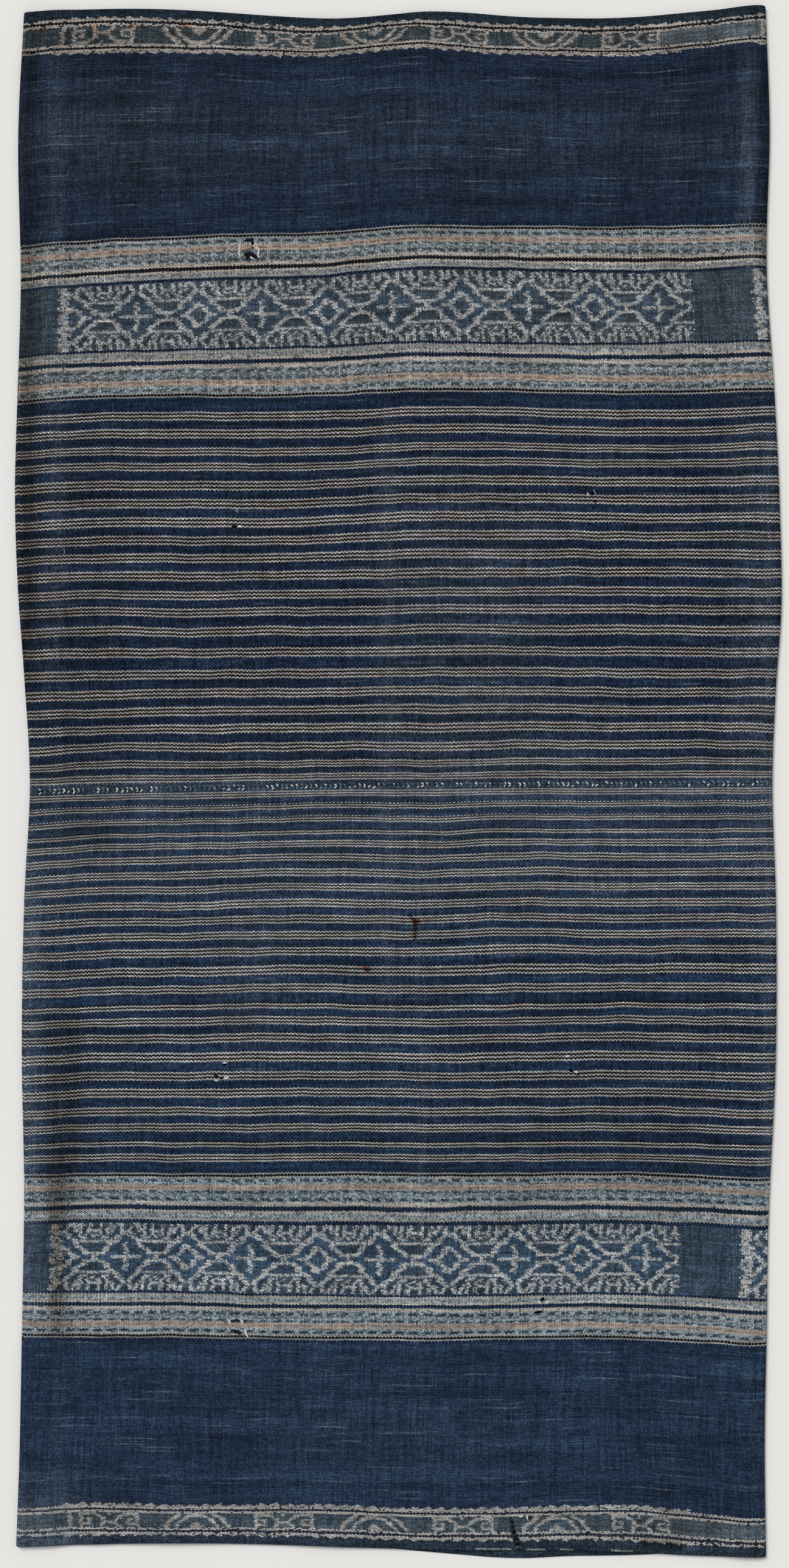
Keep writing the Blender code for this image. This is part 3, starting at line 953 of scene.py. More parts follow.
def ends_group():
    """Which warp end lies on top at a place. Ends float over the wefts in a brick pattern, as lozenges that lean a
    little with the twist of their yarn. Crown is 1 in the middle of a float and 0 at its edge."""
    tree, nodes, given, result = new_group(
        "Warp end on top",
        [
            ("Along", "Float"), ("Across", "Float"), ("End pitch", "Float"), ("Weft pitch", "Float"),
            ("Lean", "Float"), ("Length", "Float"),
        ],
        [("End", "Float"), ("Column", "Float"), ("Crown", "Float"), ("Slopes", "Vector")],
    )
    picks = nodes.math("DIVIDE", given["Along"], given["Weft pitch"])
    ends = nodes.math("DIVIDE", given["Across"], given["End pitch"])
    found = []
    for odd in (0.0, 1.0):
        column = nodes.math("MULTIPLY_ADD", picks, 0.5, -odd / 2)
        column = nodes.math("MULTIPLY_ADD", nodes.math("ROUND", column), 2.0, odd)
        off_pick = nodes.math("SUBTRACT", picks, column)
        leaning = nodes.math("SUBTRACT", ends, nodes.math("MULTIPLY", off_pick, given["Lean"]))
        end = nodes.math("MULTIPLY_ADD", leaning, 0.5, -odd / 2)
        end = nodes.math("MULTIPLY_ADD", nodes.math("ROUND", end), 2.0, odd)
        off = nodes.place(nodes.math("MULTIPLY", off_pick, given["Length"]), nodes.math("SUBTRACT", leaning, end))
        found.append((column, end, off, nodes.vector("DOT_PRODUCT", off, off)))
    (even_column, even_end, even_off, even), (odd_column, odd_end, odd_off, odd) = found
    nearer = nodes.math("LESS_THAN", odd, even)
    nodes.feed(result["End"], nodes.choose(nearer, even_end, odd_end))
    nodes.feed(result["Column"], nodes.choose(nearer, even_column, odd_column))
    nodes.feed(result["Crown"], nodes.math("SUBTRACT", 1.0, nodes.math("MINIMUM", even, odd), clamp=True))
    nodes.feed(result["Slopes"], nodes.choose(nearer, even_off, odd_off, "VECTOR"))
    return tree


def stroke_group():
    """A stroke of dye between two points, 1 inside and 0 outside."""
    tree, nodes, given, result = new_group(
        "Ikat stroke",
        [("Place", "Vector"), ("Start", "Vector"), ("Finish", "Vector"), ("Half width", "Float"), ("Softness", "Float")],
        [("Mask", "Float")],
    )
    from_start = nodes.vector("SUBTRACT", given["Place"], given["Start"])
    run = nodes.vector("SUBTRACT", given["Finish"], given["Start"])
    share = nodes.math(
        "DIVIDE", nodes.vector("DOT_PRODUCT", from_start, run), nodes.vector("DOT_PRODUCT", run, run), clamp=True
    )
    nearest = nodes.vector("SCALE", run, scale=share)
    inside = nodes.math("SUBTRACT", given["Half width"], nodes.vector("DISTANCE", from_start, nearest))
    nodes.feed(result["Mask"], nodes.math("DIVIDE", inside, given["Softness"], clamp=True))
    return tree


def cotton_group():
    """Handspun cotton: every end, pick and float has its own tone, some ends run pale, and wear and soil show. Painted
    highlight lies on each float's crown, painted shade in the gaps between floats and in the rib valleys, and the wear
    and soil attributes bring painted shade on folds and creases and painted highlight on crests.
    """
    tree, nodes, given, result = new_group(
        "Handspun cotton",
        [
            ("Yarn", "Color"), ("End", "Float"), ("Column", "Float"), ("Crown", "Float"), ("Along", "Float"),
            ("Across", "Float"), ("Faded", "Color"), ("Slubs", "Float"), ("Variety", "Float"),
            ("Gap tone", "Float"), ("Rib", "Float"), ("Ribbing", "Float"),
        ],
        [("Colour", "Color")],
    )
    end, column, along, across = given["End"], given["Column"], given["Along"], given["Across"]
    by_end = nodes.random(nodes.math("MULTIPLY_ADD", end, 1.37, 11.3))
    by_float = nodes.random(nodes.place(column, end), "2D")
    by_pick = nodes.noise(nodes.place(nodes.math("MULTIPLY", column, 2.3), nodes.math("MULTIPLY", across, 0.03)))
    cloud = nodes.noise(nodes.place(nodes.math("MULTIPLY", along, 0.009), nodes.math("MULTIPLY", across, 0.07)), 2.0)
    pair = nodes.math("FLOOR", nodes.math("MULTIPLY", end, 0.5))
    slub = nodes.noise(nodes.place(nodes.math("MULTIPLY", along, 0.013), nodes.math("MULTIPLY", pair, 0.83)), 1.0)
    # Painted highlight on each float's crown and painted shade in the gaps between floats.
    crown_highlight = nodes.math("MULTIPLY", given["Crown"], given["Crown"])
    steepness = nodes.math("MULTIPLY_ADD", given["Gap tone"], -2.0, 2.0)
    tone = nodes.math("MULTIPLY_ADD", crown_highlight, steepness, given["Gap tone"])
    # Painted shade and highlight of the ribs along the wefts.
    rib_valley_shade = nodes.math("MULTIPLY", nodes.math("SUBTRACT", 0.25, given["Rib"]), given["Ribbing"])
    tone = nodes.math("MULTIPLY", tone, nodes.math("ADD", rib_valley_shade, 1.0))
    lightness = nodes.vector("DOT_PRODUCT", given["Yarn"], (0.7, 0.7, 0.7))
    variety = nodes.math("MULTIPLY", given["Variety"], nodes.math("SUBTRACT", 1.0, lightness, clamp=True))
    worn = nodes.noise(nodes.place(nodes.math("MULTIPLY", along, 0.06), nodes.math("MULTIPLY", pair, 1.7)))
    tone = nodes.math("MULTIPLY", tone, nodes.math("MULTIPLY_ADD", nodes.math("SUBTRACT", worn, 0.5), 0.7, 1.0))
    for source, amount in ((by_end, 0.6), (by_pick, 1.0), (by_float, 1.0), (cloud, 1.2)):
        swing = nodes.math("MULTIPLY", nodes.math("SUBTRACT", source, 0.5), variety)
        tone = nodes.math("MULTIPLY", tone, nodes.math("MULTIPLY_ADD", swing, amount, 1.0))
    patchy = nodes.math("MULTIPLY", nodes.math("SUBTRACT", slub, 0.5), lightness)
    tone = nodes.math("MULTIPLY", tone, nodes.math("MULTIPLY_ADD", patchy, 1.6, 1.0))
    # These carry real wear and soil, and also painted shade on folds and creases and painted highlight on crests.
    paling = nodes.add("ShaderNodeAttribute", attribute_name="paling").outputs["Fac"]
    soiling = nodes.add("ShaderNodeAttribute", attribute_name="soiling").outputs["Fac"]
    pale_end = nodes.math("MULTIPLY", nodes.math("SUBTRACT", slub, 0.68), 7.0, clamp=True)
    pale_end = nodes.math("MULTIPLY", pale_end, given["Slubs"])
    pale_share = nodes.math("ADD", paling, pale_end, clamp=True)
    colour = nodes.mix(pale_share, given["Yarn"], given["Faded"], "LIGHTEN")
    toned = nodes.vector("SCALE", colour, scale=tone)
    # The soil tint also paints shade on the folds and in the creases.
    soiled_and_shaded = nodes.mix(soiling, toned, nodes.mix(1.0, toned, (0.44, 0.40, 0.36), "MULTIPLY"))
    nodes.feed(result["Colour"], soiled_and_shaded)
    return tree


def shared_group(name):
    """A shader group, built the first time that it is asked for."""
    makers = {"Warp end on top": ends_group, "Ikat stroke": stroke_group, "Handspun cotton": cotton_group}
    return bpy.data.node_groups.get(name) or makers[name]()


def strokes(nodes, place, table, softness=1.0):
    """The mask of a table of strokes."""
    mask = None
    for x0, y0, x1, y1, half in table:
        one = nodes.group(
            shared_group("Ikat stroke"),
            Place=place, Start=(x0, y0, 0), Finish=(x1, y1, 0), Half_width=half + softness / 2, Softness=softness,
        )["Mask"]
        mask = one if mask is None else nodes.math("MAXIMUM", mask, one)
    return mask


class Weave:
    """What a pattern reads: the chart place of the end on top, its numbers, and random slips between ends."""

    def __init__(self, nodes, panel, lean, end_pitch, weft_pitch):
        self.nodes = nodes
        self.outward = float(panel.outward)
        self.bow = BAR_BOW[panel.name]
        self.pale_from = PALE_FROM[panel.name]
        weave = nodes.add("ShaderNodeUVMap", uv_map="weave").outputs[0]
        chart = nodes.add("ShaderNodeUVMap", uv_map="chart").outputs[0]
        straight, self.down = nodes.split(nodes.vector("SCALE", weave, scale=1 / MM))
        sway = nodes.noise(nodes.place(nodes.math("MULTIPLY", straight, 0.16), nodes.math("MULTIPLY", self.down, 0.006)))
        self.along = nodes.math("MULTIPLY_ADD", sway, 1.8, straight)
        self.phase, depth = nodes.split(nodes.vector("SCALE", chart, scale=1 / MM))
        settings = bpy.context.scene.ikat_cloth
        ends = nodes.group(
            shared_group("Warp end on top"),
            Along=self.along, Across=depth, End_pitch=end_pitch, Weft_pitch=weft_pitch, Lean=lean,
            Length=settings.float_shape,
        )
        self.end = ends["End"]
        self.column = ends["Column"]
        self.crown = ends["Crown"]
        self.slopes = ends["Slopes"]
        # Place across each weft rib, for the ribs' painted shade and highlight.
        self.rib = nodes.math("PINGPONG", nodes.math("DIVIDE", self.along, weft_pitch), 0.5)
        self.depth = nodes.math("MULTIPLY", self.end, end_pitch)
        self.chance = nodes.random(nodes.place(self.end, self.column), "2D")

    def slip(self):
        """How far each end, and each bundle of ends, has slipped along the warp."""
        nodes = self.nodes
        by_end = nodes.math("SUBTRACT", nodes.random(nodes.math("MULTIPLY_ADD", self.end, 2.3, 91.0)), 0.5)
        bundle = nodes.math("FLOOR", nodes.math("MULTIPLY", self.end, 1 / 3))
        by_bundle = nodes.math("SUBTRACT", nodes.random(nodes.math("MULTIPLY_ADD", bundle, 3.1, 17.0)), 0.5)
        return nodes.math("MULTIPLY_ADD", by_end, 3.0, nodes.math("MULTIPLY", by_bundle, 2.6))

    def within(self, value, limits):
        """1 where a value lies between two limits."""
        nodes = self.nodes
        above = nodes.math("GREATER_THAN", value, limits[0])
        return nodes.math("MULTIPLY", above, nodes.math("LESS_THAN", value, limits[1]))

    def teeth(self, along, pitch, share):
        """1 in each tooth along the warp."""
        nodes = self.nodes
        return nodes.math("LESS_THAN", nodes.math("FRACT", nodes.math("DIVIDE", along, pitch)), share)

    def scallops(self, along, base, height):
        """1 in rounded scallops that rise from a base depth by a height, or fall from it where that is negative."""
        nodes = self.nodes
        wave = nodes.math("ABSOLUTE", nodes.math("SINE", nodes.math("MULTIPLY", along, math.pi / SCALLOP_PITCH)))
        wave = nodes.math("MULTIPLY", wave, nodes.math("ADD", nodes.math("MULTIPLY", self.chance, 0.7), 0.55))
        rise = nodes.math("DIVIDE", nodes.math("SUBTRACT", self.depth, base), height)
        return nodes.math("MULTIPLY", nodes.math("LESS_THAN", rise, wave), nodes.math("GREATER_THAN", rise, -0.1))

    def blued(self, colour, share, blue):
        """A colour with a share of its floats blue."""
        nodes = self.nodes
        return nodes.mix(nodes.math("LESS_THAN", self.chance, share), colour, blue)


def profile_stops(profile, yarns, reach, column=1):
    """Ramp stops of a profile table. A number stands for grey."""
    stops = []
    for row in profile:
        value = row[column]
        colour = (value, value, value) if isinstance(value, float) else yarns.get(value, (0, 0, 0))
        stops.append((row[0] / reach, colour))
    return stops


def plain_yarn(nodes, weave, yarns):
    """Plain indigo."""
    return yarns["plain"]


def stripe_yarn(nodes, weave, yarns):
    """Pinstripe groups on indigo."""
    place = nodes.math("FLOORED_MODULO", nodes.math("ADD", weave.end, ENDS_IN_GROUP / 2), float(ENDS_IN_GROUP))
    place = nodes.math("DIVIDE", nodes.math("ADD", place, 0.5), float(ENDS_IN_GROUP))
    stops = [(first / ENDS_IN_GROUP, (white, brown, 0)) for first, white, brown in GROUP_ENDS]
    white, brown = nodes.split(nodes.ramp(place, stops))
    kind = nodes.add("ShaderNodeAttribute", attribute_name="group_kind").outputs["Fac"]
    last_pair = nodes.math("GREATER_THAN", place, 13 / ENDS_IN_GROUP)
    last_end = nodes.math("GREATER_THAN", place, 14 / ENDS_IN_GROUP)
    missing = nodes.math("MULTIPLY", last_pair, nodes.math("COMPARE", kind, 1.0, 0.2))
    dotted = nodes.math("MULTIPLY", last_end, nodes.math("COMPARE", kind, 2.0, 0.2))
    white = nodes.math("SUBTRACT", white, nodes.math("MAXIMUM", missing, dotted), clamp=True)
    lined = nodes.math("LESS_THAN", kind, UNLINED - 0.5)
    white = nodes.math("MULTIPLY", white, lined)
    colour = nodes.mix(nodes.math("MULTIPLY", brown, lined), yarns["indigo"], yarns["brown"])
    pair = nodes.math("FLOOR", nodes.math("MULTIPLY", weave.end, 0.5))
    warmth = nodes.noise(nodes.place(nodes.math("MULTIPLY", weave.along, 0.02), nodes.math("MULTIPLY", pair, 1.9)))
    warmth = nodes.math("MULTIPLY", nodes.math("SUBTRACT", warmth, 0.45), 4.0, clamp=True)
    return nodes.mix(white, colour, nodes.mix(warmth, yarns["white"], yarns["warm white"]))


def band_yarn(nodes, weave, yarns):
    """The ikat band: its charted field, and the striped and dashed edges on both sides of it."""
    distance = nodes.math("ABSOLUTE", weave.depth)
    slip = weave.slip()
    phase = nodes.math("ADD", weave.phase, slip)
    folded = nodes.math("PINGPONG", phase, IKAT_HALF_REPEAT)
    from_crossing = nodes.math("ABSOLUTE", nodes.math("SUBTRACT", folded, IKAT_HALF_REPEAT / 2))
    from_ring = nodes.math("SUBTRACT", IKAT_HALF_REPEAT, folded)
    lozenge = strokes(nodes, nodes.place(from_crossing, distance), LOZENGE_STROKES)
    cross = strokes(nodes, nodes.place(folded, distance), CROSS_STROKES)
    ring = strokes(nodes, nodes.place(from_ring, distance), RING_STROKES)
    motif = nodes.math("MAXIMUM", lozenge, nodes.math("MAXIMUM", cross, ring))
    tied = weave.within(phase, (IKAT_START, IKAT_END))
    bow = nodes.math("MULTIPLY_ADD", distance, weave.bow / BAND_FIELD, -weave.bow)
    bar = nodes.math("ADD", nodes.math("ADD", phase, bow), nodes.math("MULTIPLY", slip, 0.6))
    bar = weave.within(bar, (IKAT_START, IKAT_START + IKAT_BAR))
    motif = nodes.math("MAXIMUM", nodes.math("MULTIPLY", motif, tied), bar)
    mottled = nodes.math("MULTIPLY", motif, nodes.math("MULTIPLY_ADD", weave.chance, 1.5, 0.12), clamp=True)
    slope = nodes.math("MULTIPLY_ADD", from_crossing, -1.0, distance)
    inside = nodes.math("MULTIPLY", nodes.math("LESS_THAN", slope, -3.5), tied)
    ground = nodes.mix(inside, yarns["ikat"], yarns["ikat deep"])
    field = nodes.mix(mottled, ground, yarns["ikat white"])
    place = nodes.math("DIVIDE", nodes.math("ADD", distance, 0.1), BAND_REACH)
    between = nodes.ramp(place, profile_stops(BAND_PROFILE, yarns, BAND_REACH, 1))
    dashes = nodes.ramp(place, profile_stops(BAND_PROFILE, yarns, BAND_REACH, 2))
    blue_share = nodes.ramp(place, profile_stops(BAND_PROFILE, yarns, BAND_REACH, 3))
    in_dash = weave.teeth(nodes.math("ADD", weave.along, slip), DASH_PITCH, DASH_SHARE)
    edge = weave.blued(nodes.mix(in_dash, between, dashes), blue_share, yarns["slate"])
    above = nodes.math("GREATER_THAN", nodes.math("MULTIPLY", weave.depth, weave.outward), 0.0)
    thick_line = nodes.math("MULTIPLY", above, weave.within(distance, THICK_LINE))
    edge = nodes.mix(thick_line, edge, yarns["indigo"])
    outer_line = nodes.math("MULTIPLY", above, weave.within(distance, OUTER_LINE))
    edge = nodes.mix(outer_line, edge, yarns["top line"])
    return nodes.mix(nodes.math("LESS_THAN", distance, BAND_FIELD), edge, field)


def border_yarn(nodes, weave, yarns):
    """The hem border: hooks and chevrons between scalloped white lines."""
    slip = weave.slip()
    phase = nodes.math("ADD", weave.phase, slip)
    folded = nodes.math("PINGPONG", phase, BORDER_HALF_REPEAT)
    depth = nodes.math("SUBTRACT", weave.depth, 14.8)
    hooks = strokes(nodes, nodes.place(folded, depth), HOOK_STROKES)
    from_chevron = nodes.math("SUBTRACT", BORDER_HALF_REPEAT, folded)
    chevrons = strokes(nodes, nodes.place(from_chevron, depth), CHEVRON_STROKES)
    tied = weave.within(phase, (BORDER_START, BORDER_END))
    motif = nodes.math("MULTIPLY", nodes.math("MAXIMUM", hooks, chevrons), tied)
    motif = nodes.math("MAXIMUM", motif, weave.within(phase, (BORDER_START, BORDER_START + BORDER_BAR)))
    in_field = weave.within(weave.depth, (14.3, 30.3))
    motif = nodes.math("MULTIPLY", motif, in_field)
    place = nodes.math("DIVIDE", nodes.math("ADD", weave.depth, 0.1), BORDER_REACH)
    lines = nodes.ramp(place, profile_stops(BORDER_PROFILE, yarns, BORDER_REACH, 1))
    blue_share = nodes.ramp(place, profile_stops(BORDER_PROFILE, yarns, BORDER_REACH, 2))
    lines = weave.blued(lines, blue_share, yarns["rim"])
    untied = nodes.math("MULTIPLY", in_field, nodes.math("SUBTRACT", 1.0, tied))
    untied = nodes.math("MULTIPLY", untied, nodes.math("GREATER_THAN", weave.along, weave.pale_from))
    lines = nodes.mix(untied, lines, yarns["hook end"])
    along = nodes.math("MULTIPLY_ADD", slip, 0.5, weave.along)
    scalloped = weave.within(phase, SCALLOPED)
    for base, height in SCALLOPS:
        scallops = nodes.math("MULTIPLY", weave.scallops(along, base, height), scalloped)
        motif = nodes.math("MAXIMUM", motif, scallops)
    mottled = nodes.math("MULTIPLY", motif, nodes.math("MULTIPLY_ADD", weave.chance, 1.1, 0.3), clamp=True)
    return nodes.mix(mottled, lines, yarns["old white"])


# Columns: pattern, lightening of slubby ends, painted shade in the gaps between the floats, painted shade and
# highlight of the ribs along the wefts, ends that a float leans over from one weft to the next, end pitch and weft
# pitch in mm.
PATTERNS = {
    "border": (border_yarn, 0.0, 0.5, 0.7, 0.35, 0.66, 1.6),
    "plain": (plain_yarn, 0.7, 0.65, 0.9, 0.3, 0.5, 1.6),
    "band": (band_yarn, 0.0, 0.36, 0.5, 0.75, 0.66, 1.5),
    "stripes": (stripe_yarn, 0.3, 0.35, 0.4, 0.28, END_PITCH, WEFT_PITCH),
}


def marks(name):
    """All marks of a panel: its stains, painted shadow at the bottom hem, and painted shade in the tear and round its
    holes.
    """
    holes = []
    for x, y, length, width, turn in HOLES[name]:
        reach = max(length - width, 0) / 2
        dx, dy = reach * math.cos(math.radians(turn)), reach * math.sin(math.radians(turn))
        holes.append((x - dx, y - dy, x + dx + 0.1, y + dy, width / 2, HOLE_SHADE))
    return (*STAINS_AND_PAINTED_SHADE[name], *holes)


def near_marks(panel, x, y):
    """Which places lie near one of the panel's marks."""
    near = np.zeros(np.shape(x), bool)
    for x0, y0, x1, y1, *_ in marks(panel.name):
        near |= np.hypot(x / MM - (x0 + x1) / 2, y / MM - (y0 + y1) / 2) < STAIN_REACH + abs(x1 - x0) / 2
    return near


def with_stains_and_painted_shade(nodes, colour, panel):
    """A colour with the panel's marks on it: stains, and painted shade and shadow."""
    place = nodes.add("ShaderNodeTexCoord").outputs["Object"]
    place = nodes.vector("MULTIPLY", nodes.vector("SCALE", place, scale=1 / MM), (1, 1, 0))
    for x0, y0, x1, y1, half, tint in marks(panel.name):
        mask = strokes(nodes, place, ((x0, y0, x1, y1, half),), softness=half)
        colour = nodes.mix(mask, colour, nodes.mix(1.0, colour, tint, "MULTIPLY"))
    return colour


def cloth_material(panel, section, marked):
    """Warp-faced cotton in one section's pattern, with or without the panel's marks."""
    settings = bpy.context.scene.ikat_cloth
    material = bpy.data.materials.new(f"{panel.name}_{section}_{'marked' if marked else 'cotton'}")
    material.use_nodes = True
    nodes = Nodes(material.node_tree)
    shader = material.node_tree.nodes["Principled BSDF"]
    chart_sense = -1 if section == "band" else 1
    pattern, slubs, painted_gap_shade, painted_rib_shade, lean, end_pitch, weft_pitch = PATTERNS[section]
    weave = Weave(nodes, panel, lean * chart_sense * panel.outward, end_pitch, weft_pitch)
    colour = pattern(nodes, weave, YARNS[panel.name])
    cotton = nodes.group(
        shared_group("Handspun cotton"),
        Yarn=(*colour, 1.0) if isinstance(colour, tuple) else colour,
        End=weave.end, Column=weave.column, Crown=weave.crown, Along=weave.along, Across=weave.down,
        Faded=(*settings.faded, 1.0), Slubs=slubs, Variety=1.0, Gap_tone=painted_gap_shade, Rib=weave.rib, Ribbing=painted_rib_shade,
    )
    # The cotton colour carries painted shade and highlight; marked faces add stains and painted shade and shadow.
    dyed = with_stains_and_painted_shade(nodes, cotton["Colour"], panel) if marked else cotton["Colour"]
    nodes.feed(shader.inputs["Base Color"], dyed)
    rise = settings.float_height / MM
    steepness = (rise / (weft_pitch * settings.float_shape), chart_sense * rise / end_pitch, 0.0)
    tilt = nodes.add("ShaderNodeVectorMath", operation="MULTIPLY_ADD")
    for socket, value in zip(tilt.inputs, (weave.slopes, steepness, (0.5, 0.5, 1.0))):
        nodes.feed(socket, value)
    relief = nodes.add("ShaderNodeNormalMap", uv_map="weave")
    nodes.feed(relief.inputs["Color"], tilt.outputs[0])
    nodes.feed(shader.inputs["Normal"], relief.outputs[0])
    shader.inputs["Roughness"].default_value = 0.9
    shader.inputs["Specular IOR Level"].default_value = 0.06
    return material


def weave_panel(panel):
    """Makes one panel as a thin closed sheet in its solid's place."""
    node = panel.name + "_panel"
    cloth = bpy.data.objects.new(panel.name + "_cloth", panel_mesh(panel))
    bpy.context.scene.collection.objects.link(cloth)
    for marked in (False, True):
        for section in SECTIONS:
            cloth.data.materials.append(cloth_material(panel, section, marked))
    thick = cloth.modifiers.new("thickness", "SOLIDIFY")
    thick.thickness = bpy.context.scene.ikat_cloth.thickness
    thick.offset = 0.0
    settle(cloth)
    cut_holes(cloth, panel.name)
    cloth.data.shade_smooth()
    cloth.data.set_sharp_from_angle(angle=SHARP_ANGLE)
    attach(cloth, "root")
    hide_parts(node)
    return cloth


def make_panels():
    return (
        Panel("upper", "top", UPPER_LINES, UPPER_WAVES, UPPER_MOTIFS),
        Panel("lower", "bottom", LOWER_LINES, LOWER_WAVES, LOWER_MOTIFS),
    )


def surface_height(x, y):
    """The top of the front layer at one place."""
    return float(front_height(np.array([x]), np.array([y]))[0]) + CLOTH / 2


def hole_rings(name):
    """The corners of each hole in a panel, as rings in metres."""
    rings = []
    for number, (x, y, length, width, turn) in enumerate(HOLES[name]):
        turn = math.radians(turn)
        ring = []
        for k in range(HOLE_CORNERS):
            angle = 2 * math.pi * k / HOLE_CORNERS
            ragged = 1 + 0.35 * noise.noise(Vector((k * 1.7, number * 3.1, 2)))
            ragged *= HOLE_FULLNESS
            px, py = length / 2 * ragged * math.cos(angle), width / 2 * ragged * math.sin(angle)
            ring.append((x + px * math.cos(turn) - py * math.sin(turn), y + px * math.sin(turn) + py * math.cos(turn)))
        rings.append(ring)
    if name == "lower":
        rings.append(TEAR[::-1])
    return [[(px * MM, py * MM) for px, py in ring] for ring in rings]


def hole_cutters(name):
    """Upright prisms that cut a panel's holes through its front layer only."""
    points, faces = [], []
    for ring in hole_rings(name):
        first, count = len(points), len(ring)
        points += [(x, y, HOLE_BOTTOM) for x, y in ring] + [(x, y, HOLE_TOP) for x, y in ring]
        faces.append([first + k for k in reversed(range(count))])
        faces.append([first + count + k for k in range(count)])
        for k in range(count):
            after = (k + 1) % count
            faces.append([first + k, first + after, first + count + after, first + count + k])
    mesh = bpy.data.meshes.new(name + "_cutters")
    mesh.from_pydata(points, [], faces)
    return mesh


def cut_holes(cloth, name):
    """Cuts the worn holes and the tear."""
    cutters = bpy.data.objects.new(name + "_cutters", hole_cutters(name))
    bpy.context.scene.collection.objects.link(cutters)
    cut = cloth.modifiers.new("holes", "BOOLEAN")
    cut.operation = "DIFFERENCE"
    cut.solver = "MANIFOLD"
    cut.object = cutters
    settle(cloth)
    bpy.data.objects.remove(cutters)


def thread_material(name, colour):
    """Handspun sewing thread."""
    material = bpy.data.materials.new(name.replace(" ", "_") + "_thread")
    material.use_nodes = True
    nodes = Nodes(material.node_tree)
    shader = material.node_tree.nodes["Principled BSDF"]
    place = nodes.vector("SCALE", nodes.add("ShaderNodeTexCoord").outputs["Object"], scale=1500.0)
    grain = nodes.noise(place, 1.0)
    shade = nodes.ramp_between(grain, tuple(0.62 * c for c in colour), tuple(1.25 * c for c in colour))
    nodes.feed(shader.inputs["Base Color"], shade)
    shader.inputs["Roughness"].default_value = 0.85
    shader.inputs["Specular IOR Level"].default_value = 0.1
    return material


def strand_points(path):
    """A smooth path over the cloth through a strand's points, dipping into it at both ends."""
    path = np.array(path, float) * MM
    count = (len(path) - 1) * STRAND_STEPS + 1
    at = np.linspace(0, len(path) - 1, count)
    knots = np.arange(len(path), dtype=float)
    x = smooth_curve(knots, path[:, 0], at)
    y = smooth_curve(knots, path[:, 1], at)
    lift = np.sin(np.linspace(0, math.pi, count))
    return [Vector((px, py, surface_height(px, py) + (0.9 * up - 0.35) * MM)) for px, py, up in zip(x, y, lift)]


def add_tube(points, faces, path, radius):
    """Adds a closed tube along a path, thinner at its ends."""
    first = len(points)
    for k, here in enumerate(path):
        ahead = (path[min(k + 1, len(path) - 1)] - path[max(k - 1, 0)]).normalized()
        aside = ahead.cross(Vector((0, 0, 1))).normalized()
        above = aside.cross(ahead)
        end = min(k, len(path) - 1 - k)
        size = radius * (0.6 if end == 0 else 1.0)
        for side in range(STRAND_SIDES):
            angle = 2 * math.pi * side / STRAND_SIDES
            points.append(tuple(here + size * (math.cos(angle) * aside + math.sin(angle) * above)))
    for k in range(len(path) - 1):
        for side in range(STRAND_SIDES):
            a = first + k * STRAND_SIDES + side
            b = first + k * STRAND_SIDES + (side + 1) % STRAND_SIDES
            faces.append((a, b, b + STRAND_SIDES, a + STRAND_SIDES))
    last = first + (len(path) - 1) * STRAND_SIDES
    faces.append([first + side for side in reversed(range(STRAND_SIDES))])
    faces.append([last + side for side in range(STRAND_SIDES)])


def lay_strands():
    """The broken, loose and darning threads, as one piece."""
    points, faces, materials = [], [], []
    kinds = ("cream", "tan", "pale blue", "navy")
    for colour, thickness, *path in STRANDS:
        before = len(faces)
        add_tube(points, faces, strand_points(path), thickness / 2 * STRAND_FULLNESS * MM)
        materials += [kinds.index(colour)] * (len(faces) - before)
    mesh = bpy.data.meshes.new("loose_threads")
    mesh.from_pydata(points, [], faces)
    mesh.polygons.foreach_set("material_index", materials)
    strands = bpy.data.objects.new("loose_threads", mesh)
    bpy.context.scene.collection.objects.link(strands)
    for kind in kinds:
        mesh.materials.append(thread_material(kind, THREADS[kind]))
    mesh.shade_smooth()
    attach(strands, "root")
    return strands


SEAM_INPUTS = (
    ("Pitch", "Float"), ("Row spacing", "Float"), ("Length", "Float"), ("Thread", "Float"), ("Slant", "Float"),
    ("Clean share", "Float"), ("Seed", "Int"), ("Clean thread", "Material"), ("Dyed thread", "Material"),
    ("Deep thread", "Material"),
)


